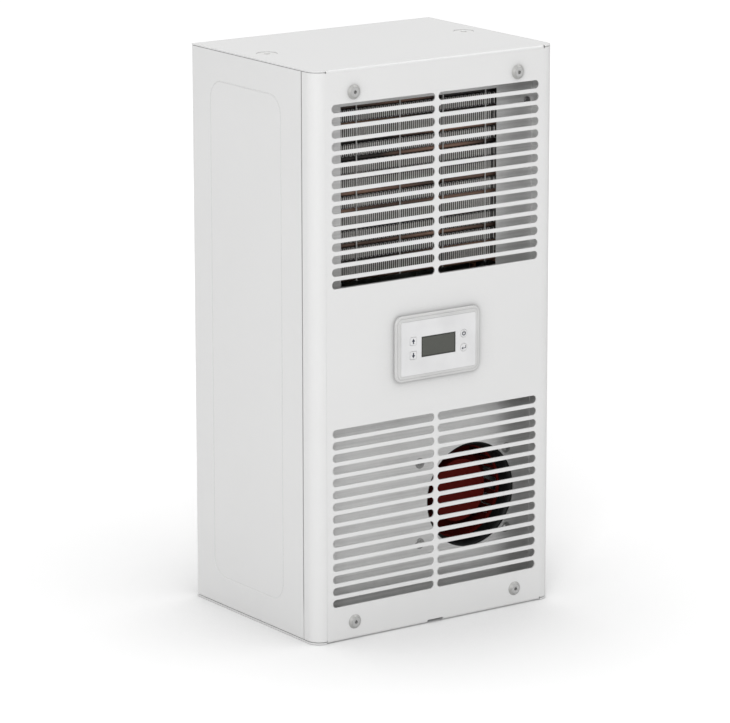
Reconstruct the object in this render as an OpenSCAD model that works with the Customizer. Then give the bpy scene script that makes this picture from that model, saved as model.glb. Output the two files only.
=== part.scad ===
// Side-mounted enclosure cooling unit, in millimetres.
// X runs to the right, Y to the rear and Z up. The face of the hood looks along -Y.

/* [Casing] */
// Width over the side panels
body_w = 280; // [270:1:330]
// Height over the hood's top and bottom flanges
body_h = 550; // [548:1:600]
// Depth from the hood's face to the rear wall
body_d = 207; // [205:1:240]
// Thickness of the painted sheet
sheet_t = 1.5; // [1.2:0.1:1.8]
// Outer radius of the hood's upright front corners
corner_r = 13; // [10:0.5:15]
// Outer radius of the small bends along the top and bottom of the hood
bend_r = 3; // [2.2:0.1:4]
// Length of the hood's side returns, from the face back
return_l = 19.4; // [17:0.1:20]
// Open seam between a side return and the side panel behind it
seam_gap = 1.5; // [0.8:0.1:2]
// Open gap between the hood's flanges and the upper and lower edges of the sides
flange_gap = 0.8; // [0.5:0.1:1.2]
// Depth of the stiffening panel pressed into each side
emboss_t = 0.8; // [0.4:0.1:1]

/* [Grilles] */
// Length of one slot
slot_l = 118; // [90:1:119]
// Height of one slot
slot_h = 8; // [5:0.5:8.5]
// Distance from one row of slots to the next
slot_pitch = 11.87; // [11:0.01:12]
// Rows of slots in each grille
slot_rows = 15; // [8:1:15]
// Upright bar between the two columns of slots
slot_web = 4; // [3:0.5:6]
// Height of the middle of the front, between the grilles
panel_z = 275.6; // [274.6:0.1:276]
// From there to the middle of each grille's outermost row
grille_reach = 237.7; // [236:0.1:238.4]

/* [Hood fixing] */
// Distance of a hood screw from the middle of the unit
hood_screw_x = 95; // [85:1:105]
// Upper hood screws, below the top edge
hood_screw_top = 22.7; // [20:0.1:25]
// Lower hood screws, above the bottom edge
hood_screw_low = 17; // [15:0.5:20]
// Radius of the conical washer under a hood screw
cup_r = 7; // [6:0.5:7.5]
// Height of the conical washer
cup_h = 2.3; // [1.8:0.1:2.8]

/* [Air guide] */
// Distance of the galvanised air guide behind the hood's face
guide_y = 33; // [32:0.5:34]
// Thickness of the air guide
guide_t = 1; // [0.8:0.1:1.4]
// Left edge of the condenser window
window_x0 = -87; // [-90:1:-80]
// Right edge of the condenser window
window_x1 = 95; // [90:1:98]
// Lower edge of the condenser window
window_z0 = 335; // [330:1:336]
// Upper edge of the condenser window
window_z1 = 507.5; // [500:0.5:510]

/* [Condenser] */
// Left end of the straight tube passes
pass_x0 = -94.3; // [-95:0.1:-92]
// Right end of the straight tube passes
pass_x1 = 92.8; // [92:0.1:94]
// Depth of the condenser, front to rear
coil_d = 22; // [18:1:24]
// Height of the lowest tube pass
pass_z0 = 340.4; // [339:0.1:342]
// Distance from one tube pass to the next
pass_pitch = 16.5; // [16:0.1:16.6]
// Number of tube passes
passes = 11; // [7:2:11]
// Thickness of the flat tube
tube_t = 4.6; // [3.6:0.1:5]
// Distance from one fin to the next
fin_pitch = 2.28; // [2.2:0.01:3]
// Thickness of the fin strip
fin_t = 0.35; // [0.25:0.05:0.5]

/* [Ambient fan] */
// Fan axis, to the right of the middle
fan_x = 65.7; // [64:0.1:67]
// Fan axis, height
fan_z = 109.6; // [108:0.1:111]
// Radius of the hole in the air guide
fan_hole_r = 52.1; // [51.5:0.1:52.2]
// Throat radius of the inlet ring
throat_r = 46.5; // [45.5:0.5:48]
// Depth of the inlet ring behind the air guide
ring_d = 14.5; // [12:0.5:16]
// Outer radius of the impeller
wheel_r = 53; // [50:0.5:53.5]
// Number of blades
blade_n = 36; // [24:2:40]

/* [Compressor] */
// Radius of the compressor can
can_r = 46; // [40:1:46]
// Straight height of the compressor can
can_h = 100; // [80:1:110]
// Compressor axis, from the middle of the unit
can_x = -78; // [-80:1:-76]

/* [Cabinet side] */
// Distance of the partition behind the hood's face
wall_y = 138; // [137:0.5:139]
// Height of the cabinet-air fan
air_z = 440; // [430:1:445]
// Radius of the round air inlet in the rear wall
inlet_r = 48; // [46:1:50]
// Rows of slots in the cold-air outlet
out_rows = 5; // [3:1:6]
// Height of the lowest row of the outlet
out_z = 58; // [56:1:62]
// Lowest row of evaporator tubes
evap_z = 165; // [160:1:170]
// Distance from one row of evaporator tubes to the next
evap_pitch = 24; // [22:1:25]
// Distance from one evaporator fin to the next
evap_fin_pitch = 5; // [4:0.5:7]

/* [Mounting] */
// Distance of the rear mounting threads from the side of the unit
mount_edge = 16; // [14:0.5:17]
// Distance from the lowest to the highest rear mounting thread
mount_h = 470; // [440:2:480]
// Thread core radius of a rear mounting nut, for M6
mount_bore_r = 2.5; // [2.1:0.1:3.4]
// Thickness of the rear gasket
gasket_t = 4; // [3:0.5:6]
// Distance of a lifting point from the middle of the unit
lift_x = 115; // [105:1:118]
// Lifting points, behind the hood's face
lift_y = 114; // [105:1:120]

/* [Display] */
// Width of the display frame
disp_w = 99; // [97:1:104]
// Height of the display frame
disp_h = 64; // [62:1:68]
// How far the display stands out from the hood
disp_out = 3.8; // [3.6:0.1:4.4]
// Corner radius of the display frame
disp_r = 8; // [7:0.5:10]
// Width of the visible screen
lcd_w = 40; // [34:1:42]
// Height of the visible screen
lcd_h = 20; // [16:1:22]
// Distance of the keys from the middle of the display
key_x = 29.6; // [28.5:0.1:31]
// Distance between the two keys of a column
key_pitch = 13.7; // [12:0.1:15]
// Width of a key
key_w = 7.4; // [6:0.1:8]
// Travel of a key
key_travel = 0.4; // [0.3:0.05:0.45]

/* [Hidden] */
$fn = 64;
over = 0.5;
slip = 0.3;
fit = 0.05;
plate_gap = 0.2;

// Frame of the whole part
key_out = 0.3;
mid_y = (body_d + gasket_t - disp_out - key_out) / 2;

// Casing
side_z0 = sheet_t + flange_gap;
side_h = body_h - 2 * side_z0;
flange_d = body_d - 1;
relief = 0.5;
strip_w = body_w - 2 * corner_r - 2 * relief;
relief_r = 1.1;
notch_w = 18.6;
notch_h = 2.2;
notch_d = 14;
housing_y = return_l + seam_gap;
joggle_y = corner_r - 1;
joggle_l = housing_y + sheet_t - joggle_y;
joggle_x = body_w / 2 - 2 * sheet_t - slip;
side_in = body_w / 2 - sheet_t;
rear_bend_r = 3;
rear_in = body_d - sheet_t;
emboss_y0 = 54;
emboss_y1 = 175;
emboss_z = 29.5;
emboss_r = 19;

// Grilles
slot_x = (slot_web + slot_l) / 2;

// Hood fixing, with M5 screws
hood_screw_z = [hood_screw_low, body_h - hood_screw_top];
screw_r = 2.45;
screw_bore_r = 2.5;
screw_hole_r = 2.9;
screw_head_r = 4.5;
screw_l = 16;
head_rise = 0.2;
socket_r = 1.7;
socket_d = 1.7;
cup_top_r = 5;
rivet_flange_r = 6;
rivet_r = 3.5;
rivet_l = 12;

// Inner chassis plates
chassis_y = 3;
chassis_lip = 30;
chassis_w = 2 * (side_in - plate_gap);
chassis_nose_w = 2 * (joggle_x - slip);
chassis_lip_w = 2 * (body_w / 2 - 10);
chassis_edge_y = joggle_y + joggle_l + slip;
ear_l = 15;
ear_y0 = guide_y + guide_t + 11;
ear_y1 = wall_y - 8;
base_top = side_z0 + sheet_t;
roof_z = body_h - base_top;

// Lifting points, M8
lift_hole_r = 10;
lift_flange_r = 8.6;
lift_flange_t = 1.2;
lift_body_r = 5.5;
lift_bore_r = 3.4;
lift_l = 16;

// Air guide
guide_w = 2 * (side_in - plate_gap);
guide_lip = 8.5;
guide_below = 30;
guide_top = body_h - guide_below;
guide_foot = 10;
guide_back = guide_y + guide_t;
fan_screw_dx = [-60.8, 42.8];
fan_screw_dz = [-39.9, 40.4];
fan_screw_r = 2;
fan_head_r = 5.2;
fan_head_t = 2.2;
guide_screw_x = guide_w / 2 - 7.3;
guide_screw_z = [492, 328];
guide_screw_r = 1.8;
guide_head_r = 3.6;
guide_head_t = 1.8;
guide_screw_l = 6;

// Condenser
coil_y = guide_back + 4;
bend_reach = pass_pitch / 2 + tube_t / 2;
tube_d = coil_d - 2;
fin_h = pass_pitch - tube_t;
waves = floor((pass_x1 - pass_x0) / fin_pitch / 2);
strap_x0 = -66;
strap_step = 50.3;
strap_n = 4;
strap_w = 1.8;
strap_t = 0.8;
block_l = 7;
block_h = 8.5;
bracket_t = 1;
bracket_z0 = window_z0 - 13;
bracket_below = 5;
bracket_h = guide_top - bracket_below - bracket_z0;

// Refrigerant pipes
pipe_r = 3.2;
suction_r = 4.2;
capillary_r = 1.3;
pipe_bend = 9;
capillary_bend = 3.5;
discharge_y = 80;
suction_y = 100;
suction_z = 165;
stub_dx = [-20, 16];

// Ambient fan
bell_edge_r = fan_hole_r;
bell_r = (pow(bell_edge_r - throat_r, 2) + pow(ring_d, 2)) / (2 * (bell_edge_r - throat_r));
ring_t = 2;
ring_flange_r = fan_hole_r + 3;
ring_flange_t = 1.6;
wheel_gap = 1.5;
wheel_front = guide_back + ring_d + wheel_gap;
wheel_w = 34.5;
wheel_band = 7.7;
wheel_ring_t = 2;
blade_arc_r = 6.6;
blade_inset = 0.4;
blade_t = 0.9;
cup_in_r = 29.5;
cup_wall_t = 1.5;
cup_gap = 1.5;
motor_r = 28;
shaft_r = 3;
shaft_l = 20;
volute_step = 3.5;
volute_r = 63;
volute_t = 1.5;
volute_back = wheel_front + wheel_w + 6;
volute_rise = 80;
volute_top = fan_z + volute_rise;
motor_hole_gap = 0.4;
motor_flange_r = 36;
motor_flange_t = 2;
motor_cap_r = 22;
motor_cap_h = 6;
post_r = 3.2;
post_bore_r = 1.7;

// Compressor
can_y = 88;
can_dome_r = 62;
can_dome_h = can_dome_r - sqrt(pow(can_dome_r, 2) - pow(can_r, 2));
foot_t = 3;
foot_z = 14;
foot_w = 104;
foot_d = 88;
foot_corner = 10;
foot_hole_x = 42;
foot_hole_y = 34;
foot_hole_r = 5;
seam_r = 1.2;
seam_h = 6;
grommet_r = 7.5;
grommet_lip = 3;
grommet_bore_r = 3.1;
stub_top = foot_z + foot_t + can_h + can_dome_h + 8;
bolt_r = 3;
bolt_head_r = 5.5;
bolt_head_h = 4;
cover_w = 19;
cover_d = 34;
cover_h = 50;
cover_z = 62;
drier_r = 9.5;
drier_y = 72;
drier_z0 = 218;
drier_h = 58;
drier_cone = 10;

// Control tray beside the air path
tray_x0 = 76;
tray_x1 = 134;
tray_z0 = 202;
tray_z1 = 326;
tray_y0 = 100;
tray_t = 1.2;
board_y = 126;
board_t = 1.6;
board_margin = 3;
board_h = 88;
standoff_r = 2.5;
cap_r = 12.5;
cap_l = 48;

// Partition and insulation
wall_t = 1.2;
wall_w = 2 * (side_in - emboss_t - plate_gap);
wall_lip = 11;
foam_t = 6;
foam_y = wall_y + wall_t;
foam_back = foam_y + foam_t;
pipe_clear = 0.8;
cable_hole_r = 8;
cable_z = 345;

// Cabinet-air fan
air_throat_r = 42;
air_ring_d = 12;
air_wheel_r = 50;
air_wheel_w = 28;
air_blade_n = 32;
air_cup_r = 25.5;
air_motor_r = 24;
air_bell_r = (pow(inlet_r - air_throat_r, 2) + pow(air_ring_d, 2)) / (2 * (inlet_r - air_throat_r));
air_wheel_back = rear_in - air_ring_d - wheel_gap;
bridge_w = 124;
bridge_h = 60;
bridge_lip = 14;
bridge_t = 1.5;
bridge_y = foam_back + 3;
guard_wire_r = 1;
guard_rings = 4;
guard_step = 11;
guard_ear_r = 4.5;
guard_screw_r = 1.7;
guard_head_r = 3.2;
guard_head_t = 1.4;
guard_screw_l = 9;
guard_reach = guard_rings * guard_step + guard_step + guard_ear_r;

// Evaporator and condensate
evap_rows = 6;
evap_y = 152;
evap_d = 44;
evap_col = 22;
evap_tube_r = 4;
evap_half_w = 105;
evap_fin_t = 0.5;
evap_margin = 13;
evap_plate_x = 108;
evap_plate_t = 1.2;
evap_stub = 6;
drip_half_w = 112;
drip_z = 24;
drip_h = 16;
drip_t = 1.5;
drip_foot_r = 6;
drip_foot_x = [0, 90];
drain_x = -90;
drain_y = 172;
drain_bore_r = 4.5;
drain_r = 7;
drain_flange_r = 11;
drain_low = 1;
drain_hole_r = 12;

// Rear wall
out_slot_l = 78;
out_slot_h = 8;
out_pitch = 13;
out_web = 8;
mount_z = [panel_z - mount_h / 2, panel_z, panel_z + mount_h / 2];
mount_flange_r = 5.8;
mount_flange_t = 1.2;
mount_body_r = 4.4;
mount_l = 14;
gasket_edge = 4;
gasket_band = 20;
gasket_r = 6;
gasket_hole_r = 7;
plug_x = 92;
plug_z = 375;
plug_w = 44;
plug_h = 28;
plug_flange_t = 2.5;
plug_wall = 3;
plug_depth = 22;
pin_r = 2;
pin_l = 14;
pin_step = 9;
carrier_side = 2;
carrier_above = 8;
carrier_lap = 6;
carrier_gap_w = plug_w + 2 * carrier_side;
carrier_gap_h = plug_h + 2 * carrier_above;

// Display
bevel = 5.2;
bevel_h = 1.5;
rim = 0.5;
film_t = 0.5;
film_w = disp_w - 2 * bevel - 2 * rim - slip;
film_h = disp_h - 2 * bevel - 2 * rim - slip;
film_r = 2;
skirt_in_x = 7.5;
skirt_in_z = 7;
skirt_w = disp_w - 2 * skirt_in_x;
skirt_h = disp_h - 2 * skirt_in_z;
skirt_d = 15;
skirt_t = 1.5;
skirt_gap = 0.5;
face_t = 2;
hook_w = 9;
hook_out = 1.2;
hook_t = 1.5;
lcd_edge = 2;
lcd_t = 2.4;
lcd_sink = 0.2;
key_gap = 0.3;
key_shoulder = 1;
key_shoulder_t = 0.8;
key_stem_r = 1.5;
key_corner = 1.2;
face_back = -disp_out + film_t + face_t;
key_seat = face_back + key_gap;
stem_end = key_seat + key_shoulder_t + 2.8;
switch_gap = 0.15;
pcb_y = stem_end + key_travel + switch_gap + 1;
pcb_t = 1.6;
switch_w = 6;
socket_w = 14;
socket_h = 6;
socket_l = 7;

paint = [0.87, 0.87, 0.86];
zinc = [0.66, 0.67, 0.67];
steel = [0.75, 0.75, 0.76];
dark = [0.1, 0.1, 0.1];
copper = [0.55, 0.33, 0.22];
alu = [0.72, 0.73, 0.74];

// A rectangle with round corners, about the origin
module round_rect(w, h, r) {
    square([w - 2 * r, h], center = true);
    square([w, h - 2 * r], center = true);
    for (x = [-1, 1], y = [-1, 1])
        translate([x * (w / 2 - r), y * (h / 2 - r)]) circle(r);
}

// A slot with full round ends, about the origin
module slot_shape(l, h) {
    square([l - h, h], center = true);
    for (x = [-1, 1])
        translate([x * (l - h) / 2, 0]) circle(h / 2);
}

// A rectangle from y = 0 with its two corners at y = 0 rounded
module round_nose(w, d, r) {
    translate([-w / 2 + r, 0]) square([w - 2 * r, d]);
    translate([-w / 2, r]) square([w, d - r]);
    intersection() {
        translate([-w / 2, 0]) square([w, d]);
        for (x = [-1, 1])
            translate([x * (w / 2 - r), r]) circle(r);
    }
}

// Section of a sheet bent into a U that opens towards +Y
module bent_sheet(w, d, r, t) {
    difference() {
        round_nose(w, d, r);
        translate([0, t]) round_nose(w - 2 * t, d - t + over, r - t);
    }
}

// A plate drawn in X and Z and l thick along Y
module plate_y(y, l) {
    translate([0, y + l, 0]) rotate([90, 0, 0]) linear_extrude(l) children();
}

// A plate drawn in Y and Z and l thick along X
module plate_x(x, l) {
    translate([x, 0, 0]) rotate([90, 0, 90]) linear_extrude(l) children();
}

// A plate drawn in X and Y and l thick along Z
module plate_z(z, l) {
    translate([0, 0, z]) linear_extrude(l) children();
}

// A round bar along Y
module bar_y(x, y, z, l, r) {
    translate([x, y, z]) rotate([-90, 0, 0]) cylinder(h = l, r = r);
}

// A profile of radius and Y turned about an axis along Y
module turned_y(x, y, z) {
    translate([x, y, z]) rotate([-90, 0, 0]) rotate_extrude() children();
}

// The child and its mirror image across the middle plane
module both_sides() {
    children();
    mirror([1, 0, 0]) children();
}

function unit_to(a, b) = (b - a) / norm(b - a);

// One straight run of pipe between two points
module pipe_run(a, b, r) {
    d = unit_to(a, b);
    turn = abs(d.z) > 0.5 ? [d.z > 0 ? 0 : 180, 0, 0] : abs(d.y) > 0.5 ? [d.y > 0 ? -90 : 90, 0, 0]
        : [0, d.x > 0 ? 90 : -90, 0];
    translate(a) rotate(turn) cylinder(h = norm(b - a), r = r);
}

// A quarter bend at corner p, arriving along u and leaving along v
module pipe_bend_at(p, u, v, bend, r) {
    c = p - u * bend + v * bend;
    w = cross(-v, u);
    multmatrix([[-v.x, u.x, w.x, c.x], [-v.y, u.y, w.y, c.y], [-v.z, u.z, w.z, c.z], [0, 0, 0, 1]])
        rotate_extrude(angle = 90) translate([bend, 0]) circle(r);
}

// A pipe along a path with square corners, each rounded by the bend radius
module pipe(path, bend, r) {
    last = len(path) - 1;
    for (i = [0 : last - 1]) {
        u = unit_to(path[i], path[i + 1]);
        from = i == 0 ? path[0] : path[i] + u * bend;
        to = i == last - 1 ? path[last] : path[i + 1] - u * bend;
        pipe_run(from, to, r);
    }
    for (i = [1 : last - 1])
        pipe_bend_at(path[i], unit_to(path[i - 1], path[i]), unit_to(path[i], path[i + 1]), bend, r);
}

// Slots of both front grilles
module grille_slots() {
    for (side = [-1, 1], level = [-1, 1], row = [0 : slot_rows - 1])
        translate([side * slot_x, panel_z + level * (grille_reach - row * slot_pitch)])
            slot_shape(slot_l, slot_h);
}

// Hood: one sheet with the face, its round corners and the top and bottom flanges
module front_hood() {
    color(paint) difference() {
        union() {
            plate_z(side_z0, side_h) bent_sheet(body_w, return_l, corner_r, sheet_t);
            plate_x(-strip_w / 2, strip_w) translate([0, body_h / 2]) mirror([1, -1])
                bent_sheet(body_h, return_l, bend_r, sheet_t);
            for (z = [0, body_h - sheet_t])
                plate_z(z, sheet_t) difference() {
                    round_nose(body_w, flange_d, corner_r);
                    translate([-strip_w / 2, 0]) square([strip_w, bend_r]);
                }
        }
        plate_y(-over, sheet_t + 2 * over) {
            grille_slots();
            translate([0, panel_z]) square([skirt_w + 2 * skirt_gap, skirt_h + 2 * skirt_gap], center = true);
            for (x = [-1, 1], z = hood_screw_z)
                translate([x * hood_screw_x, z]) circle(screw_hole_r);
        }
        for (x = [-1, 1], z = [side_z0, body_h - side_z0])
            bar_y(x * strip_w / 2, -over, z, bend_r + over, relief_r);
        translate([-notch_w / 2, -over, -over]) cube([notch_w, notch_d + over, notch_h + over]);
        for (x = [-1, 1])
            translate([x * lift_x, lift_y, body_h - sheet_t - over])
                cylinder(h = sheet_t + 2 * over, r = lift_hole_r);
        translate([drain_x, drain_y, -over]) cylinder(h = sheet_t + 2 * over, r = drain_hole_r);
    }
}

// Countersunk hood screws with a hexagon socket
module hood_screws() {
    color(steel) for (x = [-1, 1], z = hood_screw_z)
        difference() {
            turned_y(x * hood_screw_x, 0, z) {
                translate([0, -over]) square([screw_r, screw_l + over]);
                polygon([[0, 0], [screw_r, 0], [screw_head_r, -cup_h], [screw_head_r, -cup_h - head_rise],
                    [0, -cup_h - head_rise]]);
            }
            translate([x * hood_screw_x, -cup_h - head_rise - over, z]) rotate([-90, 0, 0])
                cylinder(h = socket_d + over, r = socket_r, $fn = 6);
        }
}

// Conical washers that carry the screw heads on the hood
module cup_washers() {
    color(steel) for (x = [-1, 1], z = hood_screw_z)
        turned_y(x * hood_screw_x, 0, z)
            polygon([[screw_r + fit, 0], [cup_r, 0], [cup_top_r, -cup_h], [screw_head_r + fit, -cup_h]]);
}

// Rivet nut along +Y: flange in front, body behind, thread right through
module rivet_nut(flange_r, flange_t, body_r, l, bore_r) {
    difference() {
        union() {
            cylinder(h = flange_t, r = flange_r);
            cylinder(h = l, r = body_r);
        }
        translate([0, 0, -over]) cylinder(h = l + 2 * over, r = bore_r);
    }
}

// Rivet nuts in the chassis lips that take the hood screws
module hood_nuts() {
    color(zinc) for (x = [-1, 1], z = hood_screw_z)
        translate([x * hood_screw_x, sheet_t, z]) rotate([-90, 0, 0])
            rivet_nut(rivet_flange_r, chassis_y - sheet_t, rivet_r, rivet_l, screw_bore_r);
}

// Outline of the pressed panel of a side, in Y and Z
module emboss_shape(grow) {
    translate([(emboss_y0 + emboss_y1) / 2, body_h / 2])
        round_rect(emboss_y1 - emboss_y0 + 2 * grow, body_h - 2 * emboss_z + 2 * grow, emboss_r + grow);
}

// Places of the mounting nuts, in X and Z
module at_mounts() {
    for (x = [-1, 1], z = mount_z)
        translate([x * (body_w / 2 - mount_edge), z]) children();
}

// Slots of the cold-air outlet, in X and Z
module outlet_slots() {
    for (side = [-1, 1], row = [0 : out_rows - 1])
        translate([side * (out_slot_l + out_web) / 2, out_z + row * out_pitch])
            slot_shape(out_slot_l, out_slot_h);
}

// A side with its set-in lip behind the hood's seam, its pressed panel and its rear bend
module side_panel() {
    color(paint) difference() {
        union() {
            plate_z(side_z0, side_h) {
                intersection() {
                    translate([0, body_d]) mirror([0, 1])
                        bent_sheet(body_w, body_d - housing_y, rear_bend_r, sheet_t);
                    translate([body_w / 2 - rear_bend_r, housing_y])
                        square([rear_bend_r, body_d - housing_y]);
                }
                translate([joggle_x, joggle_y]) square([sheet_t, joggle_l]);
                translate([joggle_x, housing_y]) square([body_w / 2 - joggle_x, sheet_t]);
            }
            plate_x(side_in - emboss_t, emboss_t) emboss_shape(sheet_t);
        }
        plate_x(body_w / 2 - emboss_t, emboss_t + over) emboss_shape(0);
    }
}

module side_panel_left() {
    mirror([1, 0, 0]) side_panel();
}

module side_panel_right() {
    side_panel();
}

// Flat rear wall between the bends of the sides, welded to them
module rear_wall() {
    color(paint) plate_y(rear_in, sheet_t) difference() {
        translate([rear_bend_r - body_w / 2, side_z0]) square([body_w - 2 * rear_bend_r, side_h]);
        translate([0, air_z]) circle(inlet_r);
        for (a = [45 : 90 : 315])
            translate([guard_reach * cos(a), air_z + guard_reach * sin(a)]) circle(guard_screw_r + fit);
        outlet_slots();
        at_mounts() circle(mount_body_r + fit);
        translate([plug_x, plug_z]) square([carrier_gap_w, carrier_gap_h], center = true);
    }
}

// Plate welded to the inside of the rear wall, which carries the power inlet
module socket_carrier() {
    color(paint) plate_y(rear_in - sheet_t, sheet_t) translate([plug_x, plug_z]) difference() {
        square([carrier_gap_w + 2 * carrier_lap, carrier_gap_h + 2 * carrier_lap], center = true);
        square([plug_w - 2 * plug_wall + slip, plug_h - 2 * plug_wall + slip], center = true);
    }
}

// Roof of the chassis; the base is the same plate upside down
module chassis_plate() {
    plate_z(0, sheet_t) {
        translate([-chassis_w / 2, chassis_edge_y])
            square([chassis_w, rear_in - plate_gap - chassis_edge_y]);
        translate([-chassis_nose_w / 2, joggle_y])
            square([chassis_nose_w, chassis_edge_y - joggle_y]);
        translate([-chassis_lip_w / 2, chassis_y]) square([chassis_lip_w, joggle_y - chassis_y]);
    }
    both_sides() translate([chassis_w / 2 - sheet_t, ear_y0, sheet_t - ear_l])
        cube([sheet_t, ear_y1 - ear_y0, ear_l]);
}

// Front lip of a chassis plate, hanging down from it
module chassis_front(screw_drop) {
    difference() {
        translate([-chassis_lip_w / 2, chassis_y, sheet_t - chassis_lip])
            cube([chassis_lip_w, sheet_t, chassis_lip]);
        for (x = [-1, 1])
            bar_y(x * hood_screw_x, chassis_y - over, sheet_t - screw_drop, sheet_t + 2 * over,
                rivet_r + fit);
    }
}

module chassis_roof() {
    color(zinc) translate([0, 0, roof_z]) difference() {
        union() {
            chassis_plate();
            chassis_front(hood_screw_top - side_z0);
        }
        for (x = [-1, 1])
            translate([x * lift_x, lift_y, -over]) cylinder(h = sheet_t + 2 * over, r = lift_body_r + fit);
    }
}

module chassis_base() {
    color(zinc) difference() {
        translate([0, 0, base_top]) mirror([0, 0, 1]) {
            chassis_plate();
            chassis_front(hood_screw_low - side_z0);
        }
        for (x = [-1, 1], y = [-1, 1])
            translate([can_x + x * foot_hole_x, can_y + y * foot_hole_y, side_z0 - over])
                cylinder(h = sheet_t + 2 * over, r = grommet_bore_r);
        translate([drain_x, drain_y, side_z0 - over]) cylinder(h = sheet_t + 2 * over, r = drain_r + fit);
    }
}

// Threaded inserts for lifting eyes, below the holes in the hood's top flange
module lifting_nuts() {
    color(steel) for (x = [-1, 1])
        translate([x * lift_x, lift_y, roof_z + sheet_t + lift_flange_t]) mirror([0, 0, 1])
            rivet_nut(lift_flange_r, lift_flange_t, lift_body_r, lift_l, lift_bore_r);
}

// Places of the four fan screws, in X and Z
module at_fan_screws() {
    for (x = fan_screw_dx, z = fan_screw_dz)
        translate([fan_x + x, fan_z + z]) children();
}

// Galvanised air guide with the condenser window and the fan hole
module air_guide() {
    color(zinc) {
        plate_y(guide_y, guide_t) difference() {
            translate([-guide_w / 2, base_top]) square([guide_w, guide_top - base_top]);
            translate([window_x0, window_z0]) square([window_x1 - window_x0, window_z1 - window_z0]);
            translate([fan_x, fan_z]) circle(fan_hole_r);
            at_fan_screws() circle(fan_screw_r + fit);
            for (x = [-1, 1], z = guide_screw_z)
                translate([x * guide_screw_x, z]) circle(guide_screw_r + fit);
        }
        both_sides() translate([guide_w / 2 - guide_t, guide_y - guide_lip, base_top])
            cube([guide_t, guide_lip, guide_top - base_top]);
        translate([-chassis_lip_w / 2, guide_y, base_top])
            cube([chassis_lip_w, guide_foot, guide_t]);
        translate([-guide_w / 2, guide_y, guide_top - guide_t]) cube([guide_w, guide_foot, guide_t]);
    }
}

// Pan-head screws of the air guide
module guide_screws() {
    color(dark) for (x = [-1, 1], z = guide_screw_z) {
        bar_y(x * guide_screw_x, guide_y - guide_head_t, z, guide_head_t, guide_head_r);
        bar_y(x * guide_screw_x, guide_y - guide_head_t, z, guide_head_t + guide_screw_l, guide_screw_r);
    }
}

// Section of the flat tube, about its middle
module flat_tube_shape() {
    slot_shape(tube_d, tube_t);
}

// One hairpin of the flat tube, opening towards -X at x = 0
module hairpin() {
    rotate([90, 0, 0]) rotate([0, 0, -90]) rotate_extrude(angle = 180)
        translate([pass_pitch / 2, 0]) rotate(90) flat_tube_shape();
}

// Flat tube wound back and forth in one run
module condenser_tube() {
    mid = coil_y + coil_d / 2;
    color(copper) {
        for (k = [0 : passes - 1])
            plate_x(pass_x0, pass_x1 - pass_x0)
                translate([mid, pass_z0 + k * pass_pitch]) flat_tube_shape();
        for (k = [0 : passes - 2])
            if (k % 2 == 1)
                translate([pass_x1, mid, pass_z0 + (k + 0.5) * pass_pitch]) hairpin();
            else
                translate([pass_x0, mid, pass_z0 + (k + 0.5) * pass_pitch]) rotate([0, 0, 180]) hairpin();
        translate([pass_x0 - block_l, coil_y, pass_z0 + (passes - 1) * pass_pitch - block_h / 2])
            cube([block_l, coil_d, block_h]);
        translate([pass_x1, coil_y, pass_z0 - block_h / 2]) cube([block_l, coil_d, block_h]);
    }
}

// Upper and lower outline of one wave of a fin strip, in X and Z
function wave_upper(i) = let (x = i * 2 * fin_pitch)
    [[x, fin_h], [x + fin_pitch + fin_t, fin_h], [x + fin_pitch + fin_t, fin_t],
        [x + 2 * fin_pitch, fin_t]];
function wave_lower(i) = let (x = i * 2 * fin_pitch)
    [[x + fin_pitch, 0], [x + fin_pitch, fin_h - fin_t], [x + fin_t, fin_h - fin_t], [x + fin_t, 0]];

// One fin strip, folded up and down once in each wave
module fin_strip() {
    upper = [for (i = [0 : waves - 1]) each wave_upper(i)];
    lower = [for (i = [waves - 1 : -1 : 0]) each wave_lower(i)];
    polygon(concat([[0, 0]], upper, [[waves * 2 * fin_pitch, 0]], lower));
}

// Folded fin strips between the tube passes
module condenser_fins() {
    start = (pass_x0 + pass_x1) / 2 - waves * fin_pitch;
    color(alu) for (k = [0 : passes - 2])
        plate_y(coil_y, coil_d)
            translate([start, pass_z0 + k * pass_pitch + tube_t / 2]) fin_strip();
}

// Thin straps across the front of the coil
module condenser_straps() {
    color(steel) for (i = [0 : strap_n - 1])
        translate([strap_x0 + i * strap_step - strap_w / 2, coil_y - strap_t, pass_z0 - tube_t / 2])
            cube([strap_w, strap_t, (passes - 1) * pass_pitch + tube_t]);
}

// Sheet brackets that hold the coil's ends behind the air guide
module condenser_brackets() {
    color(zinc) for (side = [-1, 1]) {
        plate_at = side < 0 ? pass_x0 - bend_reach - slip : pass_x1 + bend_reach + slip;
        flange_end = side * (guide_w / 2 - plate_gap);
        difference() {
            union() {
                translate([side < 0 ? plate_at - bracket_t : plate_at, guide_back, bracket_z0])
                    cube([bracket_t, coil_y - guide_back + coil_d + bracket_t, bracket_h]);
                translate([min(plate_at, flange_end), guide_back, bracket_z0])
                    cube([abs(flange_end - plate_at), bracket_t, bracket_h]);
            }
            for (z = guide_screw_z)
                bar_y(side * guide_screw_x, guide_back - over, z, bracket_t + 2 * over, guide_screw_r + fit);
        }
    }
}

// Section of a bell-mouth ring: an arc from the edge in to the throat, with a flat flange
module bell_section(throat, depth, arc_r, flange_r, flange_t) {
    edge = throat + arc_r - sqrt(pow(arc_r, 2) - pow(depth, 2));
    intersection() {
        translate([throat + arc_r, depth]) difference() {
            circle(arc_r);
            circle(arc_r - ring_t);
        }
        square([throat + arc_r, depth]);
    }
    translate([edge + ring_t / 2, 0]) square([flange_r - edge - ring_t / 2, flange_t]);
}

// Black inlet ring behind the hole in the air guide
module fan_inlet_ring() {
    color(dark) turned_y(fan_x, guide_back, fan_z)
        bell_section(throat_r, ring_d, bell_r, ring_flange_r, ring_flange_t);
}

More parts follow.
